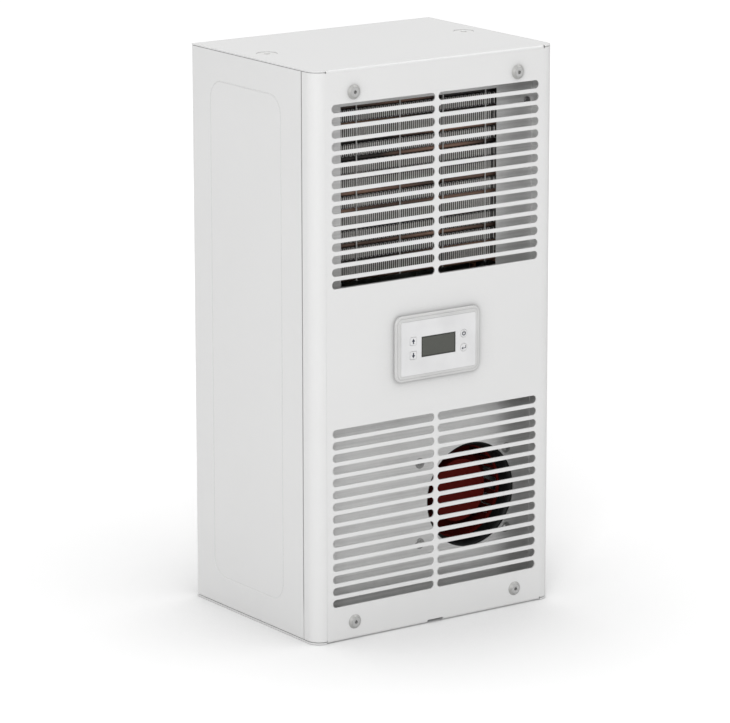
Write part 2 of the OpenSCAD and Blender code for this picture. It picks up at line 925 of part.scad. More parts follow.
// Outline of the scroll: three quarter circles of growing radius and an upright outlet
module volute_shape(grow, top) {
    first = [fan_x + volute_step / 2, fan_z - volute_step / 2];
    second = first - [volute_step, 0];
    third = second + [0, volute_step];
    left = third.x - volute_r - 2 * volute_step - grow;
    intersection() {
        translate(first) circle(volute_r + grow);
        translate(first) square(volute_r + grow + over);
    }
    intersection() {
        translate(second) circle(volute_r + volute_step + grow);
        translate([second.x, second.y - 2 * volute_r]) square([2 * volute_r, 2 * volute_r]);
    }
    intersection() {
        translate(third) circle(volute_r + 2 * volute_step + grow);
        translate(third - [2 * volute_r, 2 * volute_r]) square(2 * volute_r);
    }
    translate([left, third.y]) square([first.x - left + grow, top - third.y]);
    translate([second.x, second.y]) square([first.x - second.x, volute_step]);
}

// Fan scroll: spiral wall, rear wall and four screw posts
module fan_scroll() {
    color(zinc) difference() {
        union() {
            difference() {
                plate_y(guide_back, volute_back + volute_t - guide_back)
                    volute_shape(volute_t, volute_top);
                plate_y(guide_back - over, volute_back - guide_back + over)
                    volute_shape(0, volute_top + over);
            }
            plate_y(guide_back, volute_back - guide_back) at_fan_screws() circle(post_r);
        }
        bar_y(fan_x, volute_back - over, fan_z, volute_t + 2 * over, motor_r + motor_hole_gap);
        plate_y(guide_back - over, volute_back - guide_back) at_fan_screws() circle(post_bore_r);
    }
}

// Drum impeller about Z: front ring at z = 0, curved blades, disc and motor cup behind
module drum_wheel(r, w, n, cup_r_in) {
    in_r = r - wheel_band;
    difference() {
        cylinder(h = wheel_ring_t, r = r);
        translate([0, 0, -over]) cylinder(h = wheel_ring_t + 2 * over, r = in_r);
    }
    for (i = [0 : n - 1])
        rotate(i * 360 / n) translate([in_r + blade_inset, blade_arc_r, wheel_ring_t])
            linear_extrude(w - wheel_ring_t - cup_wall_t) intersection() {
                difference() {
                    circle(blade_arc_r);
                    circle(blade_arc_r - blade_t);
                }
                translate([0, -blade_arc_r]) square(blade_arc_r);
            }
    translate([0, 0, w - cup_wall_t]) difference() {
        cylinder(h = cup_wall_t, r = r);
        translate([0, 0, -over]) cylinder(h = cup_wall_t + 2 * over, r = cup_r_in);
    }
    difference() {
        translate([0, 0, wheel_ring_t]) cylinder(h = w - wheel_ring_t, r = cup_r_in + cup_wall_t);
        translate([0, 0, wheel_ring_t + cup_wall_t]) cylinder(h = w, r = cup_r_in);
    }
    translate([0, 0, wheel_ring_t]) cylinder(h = shaft_l, r = shaft_r);
}

// Fan motor about Z: can with a shaft bore, flange and rear cap
module fan_motor(r, can_l, flange_r) {
    difference() {
        union() {
            cylinder(h = can_l, r = r);
            translate([0, 0, can_l]) cylinder(h = motor_flange_t, r = flange_r);
            translate([0, 0, can_l + motor_flange_t]) cylinder(h = motor_cap_h, r = motor_cap_r);
        }
        translate([0, 0, -over]) cylinder(h = shaft_l + over, r = shaft_r + fit);
    }
}

module ambient_impeller() {
    color([0.35, 0.06, 0.05]) translate([fan_x, wheel_front, fan_z]) rotate([-90, 0, 0])
        drum_wheel(wheel_r, wheel_w, blade_n, cup_in_r);
}

module ambient_motor() {
    front = wheel_front + wheel_ring_t + cup_wall_t + cup_gap;
    color(dark) translate([fan_x, front, fan_z]) rotate([-90, 0, 0])
        fan_motor(motor_r, volute_back + volute_t - front, motor_flange_r);
}

// Screws with wide heads that hold the scroll to the air guide
module fan_screws() {
    color([0.3, 0.3, 0.3]) {
        plate_y(guide_y - fan_head_t, fan_head_t) at_fan_screws() circle(fan_head_r);
        plate_y(guide_y - fan_head_t, fan_head_t + ring_d) at_fan_screws() circle(post_bore_r - fit);
    }
}

// Half section of the compressor can, turned about Z
module can_section() {
    square([can_r, can_h]);
    intersection() {
        translate([0, can_h + can_dome_h - can_dome_r]) circle(can_dome_r);
        translate([0, can_h]) square([can_r, can_dome_r]);
    }
    translate([0, can_h / 2 - seam_h / 2]) square([can_r + seam_r, seam_h]);
}

// Hermetic compressor on its foot plate, with two pipe stubs on the dome
module compressor() {
    color(dark) translate([can_x, can_y, foot_z]) {
        difference() {
            linear_extrude(foot_t) round_rect(foot_w, foot_d, foot_corner);
            for (x = [-1, 1], y = [-1, 1])
                translate([x * foot_hole_x, y * foot_hole_y, -over])
                    cylinder(h = foot_t + 2 * over, r = foot_hole_r);
        }
        translate([0, 0, foot_t]) rotate_extrude() can_section();
        translate([stub_dx[0], discharge_y - can_y, can_h])
            cylinder(h = stub_top - foot_z - can_h, r = pipe_r + 1);
        translate([stub_dx[1], suction_y - can_y, can_h])
            cylinder(h = stub_top - foot_z - can_h, r = suction_r + 1);
    }
}

// Plastic cover over the compressor's terminals
module terminal_cover() {
    color(dark) difference() {
        translate([can_x + can_r - cover_w / 4, can_y - cover_d / 2, cover_z])
            cube([cover_w, cover_d, cover_h]);
        translate([can_x, can_y, 0]) cylinder(h = body_h, r = can_r + seam_r + fit);
    }
}

// Places of the compressor's feet, in X and Y
module at_feet() {
    for (x = [-1, 1], y = [-1, 1])
        translate([can_x + x * foot_hole_x, can_y + y * foot_hole_y, 0]) children();
}

module compressor_grommets() {
    color(dark) at_feet() difference() {
        union() {
            translate([0, 0, base_top]) cylinder(h = foot_z - base_top, r = grommet_r);
            translate([0, 0, foot_z]) cylinder(h = foot_t, r = foot_hole_r - fit);
            translate([0, 0, foot_z + foot_t]) cylinder(h = grommet_lip, r = grommet_r);
        }
        cylinder(h = foot_z + foot_t + grommet_lip + over, r = grommet_bore_r);
    }
}

module compressor_bolts() {
    top = foot_z + foot_t + grommet_lip;
    color(steel) at_feet() {
        translate([0, 0, top]) cylinder(h = bolt_head_h, r = bolt_head_r, $fn = 6);
        translate([0, 0, side_z0]) cylinder(h = top - side_z0, r = bolt_r);
    }
}

// Copper filter drier with coned ends
module filter_drier() {
    x = pass_x1 + block_l / 2;
    color(copper) translate([x, drier_y, drier_z0]) {
        cylinder(h = drier_h, r = drier_r);
        translate([0, 0, drier_h]) cylinder(h = drier_cone, r1 = drier_r, r2 = pipe_r + 1);
        translate([0, 0, -drier_cone]) cylinder(h = drier_cone, r1 = capillary_r + 1, r2 = drier_r);
    }
}

module discharge_line() {
    x = can_x + stub_dx[0];
    z = pass_z0 + (passes - 1) * pass_pitch;
    color(copper) pipe([[x, coil_y + coil_d, z], [x, discharge_y, z], [x, discharge_y, stub_top]],
        pipe_bend, pipe_r);
}

module liquid_line() {
    x = pass_x1 + block_l / 2;
    color(copper) pipe([[x, coil_y + coil_d, pass_z0], [x, drier_y, pass_z0],
        [x, drier_y, drier_z0 + drier_h + drier_cone]], pipe_bend, pipe_r);
}

// Height of the evaporator's top row, where both pipes join it
evap_top = evap_z + (evap_rows - 1) * evap_pitch;
evap_y1 = evap_y + (evap_d - evap_col) / 2;
evap_y2 = evap_y1 + evap_col;
capillary_x = -evap_plate_x - 10;
capillary_y = wall_y - 12;
capillary_z = tray_z0 - 6;
suction_x = capillary_x - 6;

module capillary_tube() {
    x = pass_x1 + block_l / 2;
    y = foam_back + 4;
    color(copper) pipe([[x, drier_y, drier_z0 - drier_cone], [x, drier_y, capillary_z],
        [x, capillary_y, capillary_z], [capillary_x, capillary_y, capillary_z],
        [capillary_x, y, capillary_z], [capillary_x, y, evap_top], [capillary_x, evap_y1, evap_top],
        [-evap_plate_x - evap_stub, evap_y1, evap_top]], capillary_bend, capillary_r);
}

module suction_line() {
    x = can_x + stub_dx[1];
    color(dark) pipe([[-evap_plate_x - evap_stub, evap_y2, evap_top], [suction_x, evap_y2, evap_top],
        [suction_x, suction_y, evap_top], [suction_x, suction_y, suction_z],
        [x, suction_y, suction_z], [x, suction_y, stub_top]], pipe_bend, suction_r);
}

// Sheet tray on the partition for the electrics
module control_tray() {
    color(zinc) difference() {
        translate([tray_x0, tray_y0, tray_z0])
            cube([tray_x1 - tray_x0, wall_y - plate_gap - tray_y0, tray_z1 - tray_z0]);
        translate([tray_x0 + tray_t, tray_y0 - over, tray_z0 + tray_t])
            cube([tray_x1 - tray_x0 - 2 * tray_t, wall_y - plate_gap - tray_y0 - tray_t + over,
                tray_z1 - tray_z0 - 2 * tray_t]);
    }
}

board_x0 = tray_x0 + tray_t + board_margin;
board_x1 = tray_x1 - tray_t - board_margin;
board_z0 = tray_z0 + tray_t + board_margin;
tray_floor = wall_y - plate_gap - tray_t;

module control_board() {
    color([0.1, 0.35, 0.2]) translate([board_x0, board_y, board_z0])
        cube([board_x1 - board_x0, board_t, board_h]);
}

module board_standoffs() {
    color(steel) for (x = [board_x0 + 2 * standoff_r, board_x1 - 2 * standoff_r],
            z = [board_z0 + 2 * standoff_r, board_z0 + board_h - 2 * standoff_r])
        bar_y(x, board_y + board_t, z, tray_floor - board_y - board_t, standoff_r);
}

// Shares of the board's width and height: place, size and forward height of each component
component_shares = [[0.08, 0.06, 0.5, 0.3, 0.9], [0.66, 0.06, 0.26, 0.2, 0.6], [0.66, 0.3, 0.26, 0.2, 0.6],
    [0.1, 0.42, 0.4, 0.14, 0.45], [0.1, 0.62, 0.8, 0.1, 0.5], [0.1, 0.84, 0.8, 0.1, 0.5]];

// Transformer, relays and terminal blocks on the control board
module board_components() {
    w = board_x1 - board_x0;
    depth = board_y - tray_y0;
    color(dark) for (c = component_shares)
        translate([board_x0 + c[0] * w, board_y - c[4] * depth, board_z0 + c[1] * board_h])
            cube([c[2] * w, c[4] * depth, c[3] * board_h]);
}

module run_capacitor() {
    x = (tray_x0 + tray_x1 - cap_l) / 2;
    color(alu) translate([x, tray_floor - cap_r, tray_z1 - tray_t - cap_r - slip]) rotate([0, 90, 0])
        cylinder(h = cap_l, r = cap_r);
}

// Holes of the partition and of its insulation, in X and Z
module wall_holes() {
    translate([suction_x, evap_top]) circle(suction_r + pipe_clear);
    translate([capillary_x, capillary_z]) circle(capillary_r + pipe_clear);
    translate([plug_x, cable_z]) circle(cable_hole_r);
}

// Wall between the outside-air and the cabinet-air side
module partition() {
    color(zinc) {
        plate_y(wall_y, wall_t) difference() {
            translate([-wall_w / 2, base_top]) square([wall_w, roof_z - base_top]);
            wall_holes();
        }
        both_sides() translate([wall_w / 2 - wall_t, wall_y, base_top])
            cube([wall_t, wall_lip, roof_z - base_top]);
    }
}

module insulation() {
    w = wall_w - 2 * wall_t - 2 * slip;
    color(dark) plate_y(foam_y, foam_t) difference() {
        translate([-w / 2, base_top + slip]) square([w, roof_z - base_top - 2 * slip]);
        wall_holes();
    }
}

// Ring that leads cabinet air into the inner fan; it faces the rear
module cabinet_inlet_ring() {
    color(dark) translate([0, rear_in, air_z]) mirror([0, 1, 0]) turned_y(0, 0, 0)
        bell_section(air_throat_r, air_ring_d, air_bell_r, inlet_r + ring_t + 2, ring_flange_t);
}

module cabinet_impeller() {
    color(dark) translate([0, air_wheel_back, air_z]) rotate([90, 0, 0])
        drum_wheel(air_wheel_r, air_wheel_w, air_blade_n, air_cup_r);
}

module cabinet_motor() {
    front = air_wheel_back - wheel_ring_t - cup_wall_t - cup_gap;
    color(dark) translate([0, front, air_z]) rotate([90, 0, 0])
        difference() {
            union() {
                cylinder(h = front - bridge_y - bridge_t, r = air_motor_r);
                translate([0, 0, front - bridge_y - bridge_t - motor_flange_t])
                    cylinder(h = motor_flange_t, r = motor_flange_r - 6);
            }
            translate([0, 0, -over]) cylinder(h = shaft_l + over, r = shaft_r + fit);
        }
}

// Sheet bridge on the insulation that carries the inner motor
module motor_bridge() {
    color(zinc) translate([0, 0, air_z - bridge_h / 2]) {
        translate([-bridge_w / 2, bridge_y, 0]) cube([bridge_w, bridge_t, bridge_h]);
        both_sides() {
            translate([bridge_w / 2 - bridge_t, foam_back, 0])
                cube([bridge_t, bridge_y - foam_back + bridge_t, bridge_h]);
            translate([bridge_w / 2 - bridge_t, foam_back, 0]) cube([bridge_lip, bridge_t, bridge_h]);
        }
    }
}

// Wire guard over the air inlet
module inlet_guard() {
    y = body_d + guard_wire_r;
    color(steel) {
        for (i = [1 : guard_rings])
            turned_y(0, y, air_z) translate([i * guard_step, 0]) circle(guard_wire_r);
        for (a = [45 : 90 : 315])
            translate([0, y, air_z]) rotate([0, a, 0]) {
                translate([guard_step / 2, 0, 0]) rotate([0, 90, 0])
                    cylinder(h = guard_reach - guard_step / 2 - guard_head_r - slip, r = guard_wire_r);
                translate([guard_reach, -guard_wire_r, 0]) rotate([-90, 0, 0]) difference() {
                    cylinder(h = guard_wire_r, r = guard_ear_r);
                    translate([0, 0, -over]) cylinder(h = guard_wire_r + 2 * over, r = guard_screw_r + fit);
                }
            }
    }
}

// Screws of the wire guard
module guard_screws() {
    y = body_d + guard_wire_r + guard_head_t - guard_screw_l;
    color(steel) for (a = [45 : 90 : 315])
        translate([0, y, air_z]) rotate([0, a, 0]) translate([guard_reach, 0, 0]) rotate([-90, 0, 0]) {
            cylinder(h = guard_screw_l, r = guard_screw_r);
            translate([0, 0, guard_screw_l - guard_head_t]) cylinder(h = guard_head_t, r = guard_head_r);
        }
}

// Places of the evaporator tubes, in Y and Z
module at_evap_tubes() {
    for (y = [evap_y1, evap_y2], k = [0 : evap_rows - 1])
        translate([y, evap_z + k * evap_pitch]) children();
}

module evaporator_fins() {
    count = floor(2 * evap_half_w / evap_fin_pitch);
    h = (evap_rows - 1) * evap_pitch + 2 * evap_margin;
    color(alu) for (i = [0 : count])
        plate_x((i - count / 2) * evap_fin_pitch - evap_fin_t / 2, evap_fin_t) difference() {
            translate([evap_y, evap_z - evap_margin]) square([evap_d, h]);
            at_evap_tubes() circle(evap_tube_r + fit);
        }
}

// A return bend of the evaporator in the plane of its ends, between two tubes
module evap_bend(gap, tilt) {
    rotate([tilt, 0, 0]) rotate([90, 0, 0]) rotate([0, 0, -90]) rotate_extrude(angle = 180)
        translate([gap / 2, 0]) circle(evap_tube_r);
}

// Copper tubes, run through all fins and joined by return bends
module evaporator_tubes() {
    reach = evap_plate_x + evap_plate_t;
    color(copper) {
        plate_x(-reach, 2 * reach) at_evap_tubes() circle(evap_tube_r);
        for (k = [0 : evap_rows - 2], y = [evap_y1, evap_y2])
            if (k % 2 == 0)
                translate([reach, y, evap_z + (k + 0.5) * evap_pitch]) evap_bend(evap_pitch, 0);
            else
                translate([-reach, y, evap_z + (k + 0.5) * evap_pitch]) rotate([0, 0, 180])
                    evap_bend(evap_pitch, 0);
        translate([-reach, (evap_y1 + evap_y2) / 2, evap_z]) rotate([0, 0, 180]) evap_bend(evap_col, 90);
        for (y = [evap_y1, evap_y2])
            translate([-evap_plate_x - evap_stub, y, evap_top]) rotate([0, 90, 0])
                cylinder(h = evap_stub, r = evap_tube_r);
    }
}

// End plates of the evaporator, with lips against the insulation
module evaporator_plates() {
    z0 = evap_z - evap_margin;
    h = (evap_rows - 1) * evap_pitch + 2 * evap_margin;
    color(zinc) both_sides() {
        plate_x(evap_plate_x, evap_plate_t) difference() {
            translate([foam_back, z0]) square([evap_y + evap_d - foam_back, h]);
            at_evap_tubes() circle(evap_tube_r + fit);
        }
        translate([evap_plate_x - evap_stub, foam_back, z0]) cube([evap_stub, evap_plate_t, h]);
    }
}

// Tray that catches the condensate
module drip_tray() {
    y0 = foam_back + slip;
    d = rear_in - slip - y0;
    color(dark) for (x = drip_foot_x)
        translate([x, drain_y, base_top]) cylinder(h = drip_z - base_top, r = drip_foot_r);
    color(dark) difference() {
        translate([-drip_half_w, y0, drip_z]) cube([2 * drip_half_w, d, drip_h]);
        translate([-drip_half_w + drip_t, y0 + drip_t, drip_z + drip_t])
            cube([2 * (drip_half_w - drip_t), d - 2 * drip_t, drip_h]);
        translate([drain_x, drain_y, drip_z - over]) cylinder(h = drip_t + 2 * over, r = drain_r + fit);
    }
}

// Drain tube from the tray down through the base; a hose pushes in from below
module drain_socket() {
    color(dark) translate([drain_x, drain_y, 0]) difference() {
        union() {
            translate([0, 0, drain_low]) cylinder(h = drip_z + drip_t - drain_low, r = drain_r);
            translate([0, 0, drip_z + drip_t]) cylinder(h = drip_t, r = drain_flange_r);
            translate([0, 0, base_top]) cylinder(h = drip_z - base_top, r = drain_flange_r - drip_t);
        }
        cylinder(h = drip_z + 3 * drip_t, r = drain_bore_r);
    }
}

// Threaded nuts in the rear wall for fixing to the cabinet
module mounting_nuts() {
    color(steel) translate([0, body_d + mount_flange_t, 0]) rotate([90, 0, 0]) at_mounts()
        rivet_nut(mount_flange_r, mount_flange_t, mount_body_r, mount_l, mount_bore_r);
}

// Foam gasket round the rear wall
module rear_gasket() {
    w = body_w - 2 * gasket_edge;
    h = body_h - 2 * gasket_edge;
    color(dark) plate_y(body_d, gasket_t) difference() {
        translate([0, body_h / 2]) round_rect(w, h, gasket_r);
        translate([0, body_h / 2]) round_rect(w - 2 * gasket_band, h - 2 * gasket_band, gasket_r);
        at_mounts() circle(gasket_hole_r);
    }
}

// Recessed power inlet on its carrier in the rear wall, with three pins
module power_inlet() {
    w = plug_w - 2 * plug_wall;
    h = plug_h - 2 * plug_wall;
    color(dark) translate([plug_x, rear_in, plug_z]) {
        difference() {
            union() {
                plate_y(0, plug_flange_t) round_rect(plug_w, plug_h, plug_wall);
                plate_y(-plug_depth, plug_depth) square([w, h], center = true);
            }
            plate_y(-plug_depth + plug_wall, plug_depth + plug_flange_t)
                square([w - 2 * plug_wall, h - 2 * plug_wall], center = true);
        }
        for (i = [-1 : 1])
            bar_y(i * pin_step, -plug_depth, 0, pin_l, pin_r);
    }
}

// A slab in X and Z whose front edges slope in all round; the front is at y = -h
module bevel_slab(w, h_z, r, inset, h) {
    straight_w = w - 2 * r;
    straight_h = h_z - 2 * r;
    plate_x(-straight_w / 2, straight_w) polygon([[0, -h_z / 2], [0, h_z / 2],
        [-h, h_z / 2 - inset], [-h, -h_z / 2 + inset]]);
    plate_z(-straight_h / 2, straight_h) polygon([[-w / 2, 0], [w / 2, 0],
        [w / 2 - inset, -h], [-w / 2 + inset, -h]]);
    for (x = [-1, 1], z = [-1, 1])
        translate([x * straight_w / 2, 0, z * straight_h / 2]) rotate([90, 0, 0])
            cylinder(h = h, r1 = r, r2 = r - inset);
}

// Places of the keys: side -1 is left, level 1 is up
module at_key(side, level) {
    translate([side * key_x, level * key_pitch / 2]) children();
}

// Outline of a key: square on the left, round on the right
module key_shape(side, grow) {
    if (side < 0)
        round_rect(key_w + 2 * grow, key_w + 2 * grow, key_corner + grow);
    else
        circle(key_w / 2 + grow);
}

module key_holes(grow) {
    for (side = [-1, 1], level = [-1, 1])
        at_key(side, level) key_shape(side, grow);
}

// Display frame: bevelled bezel outside the hood, skirt with hooks inside it
module display_frame() {
    edge_h = disp_out - bevel_h;
    color(paint) translate([0, 0, panel_z]) difference() {
        union() {
            plate_y(-edge_h, edge_h) round_rect(disp_w, disp_h, disp_r);
            translate([0, -edge_h, 0]) bevel_slab(disp_w, disp_h, disp_r, bevel, bevel_h);
            plate_y(0, skirt_d) round_rect(skirt_w, skirt_h, film_r);
            for (z = [-1, 1], x = [-1, 1])
                translate([x * skirt_w / 4 - hook_w / 2, sheet_t + slip / 2,
                        z * (skirt_h / 2 + hook_out / 2) - hook_out / 2])
                    cube([hook_w, hook_t, hook_out]);
        }
        plate_y(-disp_out - over, film_t + over) round_rect(film_w + slip, film_h + slip, film_r);
        plate_y(face_back, skirt_d - face_back + over)
            square([skirt_w - 2 * skirt_t, skirt_h - 2 * skirt_t], center = true);
        plate_y(-disp_out, disp_out + over) {
            square([lcd_w + 2 * lcd_edge + slip, lcd_h + 2 * lcd_edge + slip], center = true);
            key_holes(key_gap);
        }
    }
}

// Printed front film with the window and the key openings
module display_film() {
    color([0.93, 0.93, 0.93]) translate([0, 0, panel_z]) plate_y(-disp_out, film_t) difference() {
        round_rect(film_w, film_h, film_r);
        square([lcd_w, lcd_h], center = true);
        key_holes(key_gap);
    }
}

// Screen module behind the film
module display_screen() {
    color([0.25, 0.27, 0.22]) translate([0, 0, panel_z]) {
        plate_y(-disp_out + lcd_sink, lcd_t) square([lcd_w - slip, lcd_h - slip], center = true);
        plate_y(-disp_out + film_t, pcb_y + disp_out - film_t)
            square([lcd_w + 2 * lcd_edge - slip, lcd_h + 2 * lcd_edge - slip], center = true);
    }
}

// One key: cap, retaining shoulder and stem
module key_body(side, level) {
    color([0.92, 0.92, 0.92]) translate([0, 0, panel_z]) {
        plate_y(-disp_out - key_out, disp_out + key_out + key_seat) at_key(side, level)
            key_shape(side, 0);
        plate_y(key_seat, key_shoulder_t) at_key(side, level) key_shape(side, key_shoulder);
        plate_y(key_seat, stem_end - key_seat) at_key(side, level) circle(key_stem_r);
    }
}

module key_up() {
    key_body(-1, 1);
}

module key_down() {
    key_body(-1, -1);
}

module key_set() {
    key_body(1, 1);
}

module key_return() {
    key_body(1, -1);
}

// Circuit board of the display, with a switch behind each key and a cable socket
module display_board() {
    color([0.1, 0.35, 0.2]) translate([0, 0, panel_z]) {
        plate_y(pcb_y, pcb_t)
            square([skirt_w - 2 * skirt_t - slip, skirt_h - 2 * skirt_t - slip], center = true);
        plate_y(pcb_y - 1, 1) for (side = [-1, 1], level = [-1, 1])
            at_key(side, level) square(switch_w, center = true);
        plate_y(pcb_y + pcb_t, socket_l) translate([0, -skirt_h / 4])
            square([socket_w, socket_h], center = true);
    }
}

// Moves a module from the hood's face to the middle of the part
module placed() {
    translate([0, -mid_y, 0]) children();
}

placed() front_hood();
placed() hood_screws();
placed() cup_washers();
placed() hood_nuts();
placed() side_panel_left();
placed() side_panel_right();
placed() rear_wall();
placed() socket_carrier();
placed() chassis_roof();
placed() chassis_base();
placed() lifting_nuts();
placed() air_guide();
placed() guide_screws();
placed() condenser_tube();
placed() condenser_fins();
placed() condenser_straps();
placed() condenser_brackets();
placed() fan_inlet_ring();
placed() fan_scroll();
placed() ambient_impeller();
placed() ambient_motor();
placed() fan_screws();
placed() compressor();
placed() terminal_cover();
placed() compressor_grommets();
placed() compressor_bolts();
placed() filter_drier();
placed() discharge_line();
placed() liquid_line();
placed() capillary_tube();
placed() suction_line();
placed() control_tray();
placed() control_board();
placed() board_standoffs();
placed() board_components();
placed() run_capacitor();
placed() partition();
placed() insulation();
placed() cabinet_inlet_ring();
placed() cabinet_impeller();
placed() cabinet_motor();
placed() motor_bridge();
placed() inlet_guard();
placed() guard_screws();
placed() evaporator_fins();
placed() evaporator_tubes();
placed() evaporator_plates();
placed() drip_tray();
placed() drain_socket();
placed() mounting_nuts();
placed() rear_gasket();
placed() power_inlet();
placed() display_frame();
placed() display_film();
placed() display_screen();
placed() key_up();
placed() key_down();
placed() key_set();
placed() key_return();
placed() display_board();
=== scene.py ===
import math

import bmesh
import bpy
from mathutils import Matrix, Vector


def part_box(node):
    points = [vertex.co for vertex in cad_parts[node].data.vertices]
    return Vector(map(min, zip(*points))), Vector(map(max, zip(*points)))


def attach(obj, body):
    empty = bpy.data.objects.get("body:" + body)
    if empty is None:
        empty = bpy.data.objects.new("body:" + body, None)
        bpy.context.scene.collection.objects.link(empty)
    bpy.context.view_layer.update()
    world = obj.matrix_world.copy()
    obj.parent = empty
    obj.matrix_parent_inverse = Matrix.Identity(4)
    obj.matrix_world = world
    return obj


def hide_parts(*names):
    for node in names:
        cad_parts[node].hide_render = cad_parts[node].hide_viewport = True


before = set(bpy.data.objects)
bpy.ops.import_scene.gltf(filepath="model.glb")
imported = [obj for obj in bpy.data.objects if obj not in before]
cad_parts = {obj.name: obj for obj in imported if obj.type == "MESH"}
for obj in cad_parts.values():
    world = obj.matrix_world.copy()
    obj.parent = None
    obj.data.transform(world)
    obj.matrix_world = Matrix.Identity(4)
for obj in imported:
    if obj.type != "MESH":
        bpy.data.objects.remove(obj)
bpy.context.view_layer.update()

# Camera. It stands to the left of the unit and a little above it, about four metres away,
# with a long lens, so that the upright edges stay nearly parallel.
camera_data = bpy.data.cameras.new("camera")
camera_data.lens = 206.39
camera_data.sensor_width = 36.0
camera = bpy.data.objects.new("camera", camera_data)
camera.location = (-2.28085, -3.22923, 1.18799)
camera.rotation_euler = (math.radians(76.486), math.radians(0.073), math.radians(-35.1325))
bpy.context.scene.collection.objects.link(camera)
bpy.context.scene.camera = camera
bpy.context.scene.view_settings.view_transform = "Standard"

# Studio floor. A plain pale sheet. Near the unit a painted shade darkens its colour as far as the unit
# hides the sky; a little glow that only the camera sees lifts the open floor to white.
FLOOR_DROP = 0.0004
FLOOR_SIZE = 30.0
SHADE_REACH = 0.45
SHADE_DEPTH = 0.5
FLOOR_LIFT = 0.165
FAR_LIFT = 0.38
RISE_START, RISE_END = 0.4, 1.8
bpy.ops.object.select_all(action="DESELECT")
bpy.ops.mesh.primitive_plane_add(size=FLOOR_SIZE, location=(0, 0, -FLOOR_DROP))
floor = bpy.context.object
floor.name = "studio_floor"

floor_paint = bpy.data.materials.new("studio floor")
floor_paint.use_nodes = True
tree = floor_paint.node_tree
tree.nodes.clear()
matt = tree.nodes.new("ShaderNodeBsdfDiffuse")
glow = tree.nodes.new("ShaderNodeEmission")
both = tree.nodes.new("ShaderNodeAddShader")
output = tree.nodes.new("ShaderNodeOutputMaterial")
# Painted shade: an occlusion test darkens the floor's colour near the unit.
hidden = tree.nodes.new("ShaderNodeAmbientOcclusion")
hidden.samples = 8
hidden.inputs["Distance"].default_value = SHADE_REACH
painted_floor_shade = tree.nodes.new("ShaderNodeMapRange")
painted_floor_shade.inputs["To Min"].default_value = 1 - SHADE_DEPTH
tree.links.new(hidden.outputs["AO"], painted_floor_shade.inputs["Value"])
tree.links.new(painted_floor_shade.outputs[0], matt.inputs["Color"])
ray = tree.nodes.new("ShaderNodeLightPath")
spot = tree.nodes.new("ShaderNodeTexCoord")
away = tree.nodes.new("ShaderNodeVectorMath")
away.operation = "LENGTH"
tree.links.new(spot.outputs["Object"], away.inputs[0])
rise = tree.nodes.new("ShaderNodeMapRange")
rise.inputs["From Min"].default_value = RISE_START
rise.inputs["From Max"].default_value = RISE_END
rise.inputs["To Min"].default_value = FLOOR_LIFT
rise.inputs["To Max"].default_value = FAR_LIFT
tree.links.new(away.outputs["Value"], rise.inputs["Value"])
lift = tree.nodes.new("ShaderNodeMath")
lift.operation = "MULTIPLY"
tree.links.new(rise.outputs[0], lift.inputs[1])
shaded_lift = tree.nodes.new("ShaderNodeMath")
shaded_lift.operation = "MULTIPLY"
tree.links.new(ray.outputs["Is Camera Ray"], lift.inputs[0])
tree.links.new(lift.outputs[0], shaded_lift.inputs[0])
tree.links.new(painted_floor_shade.outputs[0], shaded_lift.inputs[1])
tree.links.new(shaded_lift.outputs[0], glow.inputs["Strength"])
tree.links.new(matt.outputs[0], both.inputs[0])
tree.links.new(glow.outputs[0], both.inputs[1])
tree.links.new(both.outputs[0], output.inputs[0])
floor.data.materials.append(floor_paint)

# Studio light. A white room all round; a soft lamp on the camera's left makes the round upright
# corner of the hood the brightest strip. A ceiling lamp and a weak fill even out the rest, and
# the edge lamp only shows in the sheen of the hood's top fold.
ROOM_LIGHT = 0.64
world = bpy.data.worlds.new("studio")
bpy.context.scene.world = world
world.use_nodes = True
tree = world.node_tree
tree.nodes.clear()
lit = tree.nodes.new("ShaderNodeBackground")
lit.inputs["Strength"].default_value = ROOM_LIGHT
lit.inputs["Color"].default_value = (1, 1, 1, 1)
backdrop = tree.nodes.new("ShaderNodeBackground")
backdrop.inputs["Color"].default_value = (1, 1, 1, 1)
mix = tree.nodes.new("ShaderNodeMixShader")
output = tree.nodes.new("ShaderNodeOutputWorld")
ray = tree.nodes.new("ShaderNodeLightPath")
straight = tree.nodes.new("ShaderNodeMath")
straight.operation = "MAXIMUM"
seen = tree.nodes.new("ShaderNodeMath")
seen.operation = "MAXIMUM"
tree.links.new(ray.outputs["Is Camera Ray"], straight.inputs[0])
tree.links.new(ray.outputs["Is Transmission Ray"], straight.inputs[1])
tree.links.new(straight.outputs[0], seen.inputs[0])
tree.links.new(ray.outputs["Is Glossy Ray"], seen.inputs[1])
tree.links.new(seen.outputs[0], mix.inputs[0])
tree.links.new(lit.outputs[0], mix.inputs[1])
tree.links.new(backdrop.outputs[0], mix.inputs[2])
tree.links.new(mix.outputs[0], output.inputs[0])


def hang_lamp(name, place, aim, size, watts, sheen_only=False):
    """Soft square lamp; with sheen_only it shows in reflections and lights nothing."""
    data = bpy.data.lights.new(name, "AREA")
    data.size = size
    data.energy = watts
    lamp = bpy.data.objects.new(name, data)
    lamp.location = place
    lamp.rotation_euler = (Vector(place) - Vector(aim)).to_track_quat("Z", "Y").to_euler()
    lamp.visible_diffuse = not sheen_only
    bpy.context.scene.collection.objects.link(lamp)


hang_lamp("corner lamp", (-2.6, -2.95, 2.0), (0, 0, 0.3), 1.2, 58)
hang_lamp("ceiling lamp", (0.2, 0.4, 3.2), (0, 0, 0.5), 1.6, 15)
hang_lamp("edge lamp", (1.9, -0.35, 2.9), (0, 0, 0.5), 1.2, 24, sheen_only=True)
hang_lamp("fill lamp", (2.6, -1.8, 1.4), (0, 0, 0.3), 2.0, 3.5)

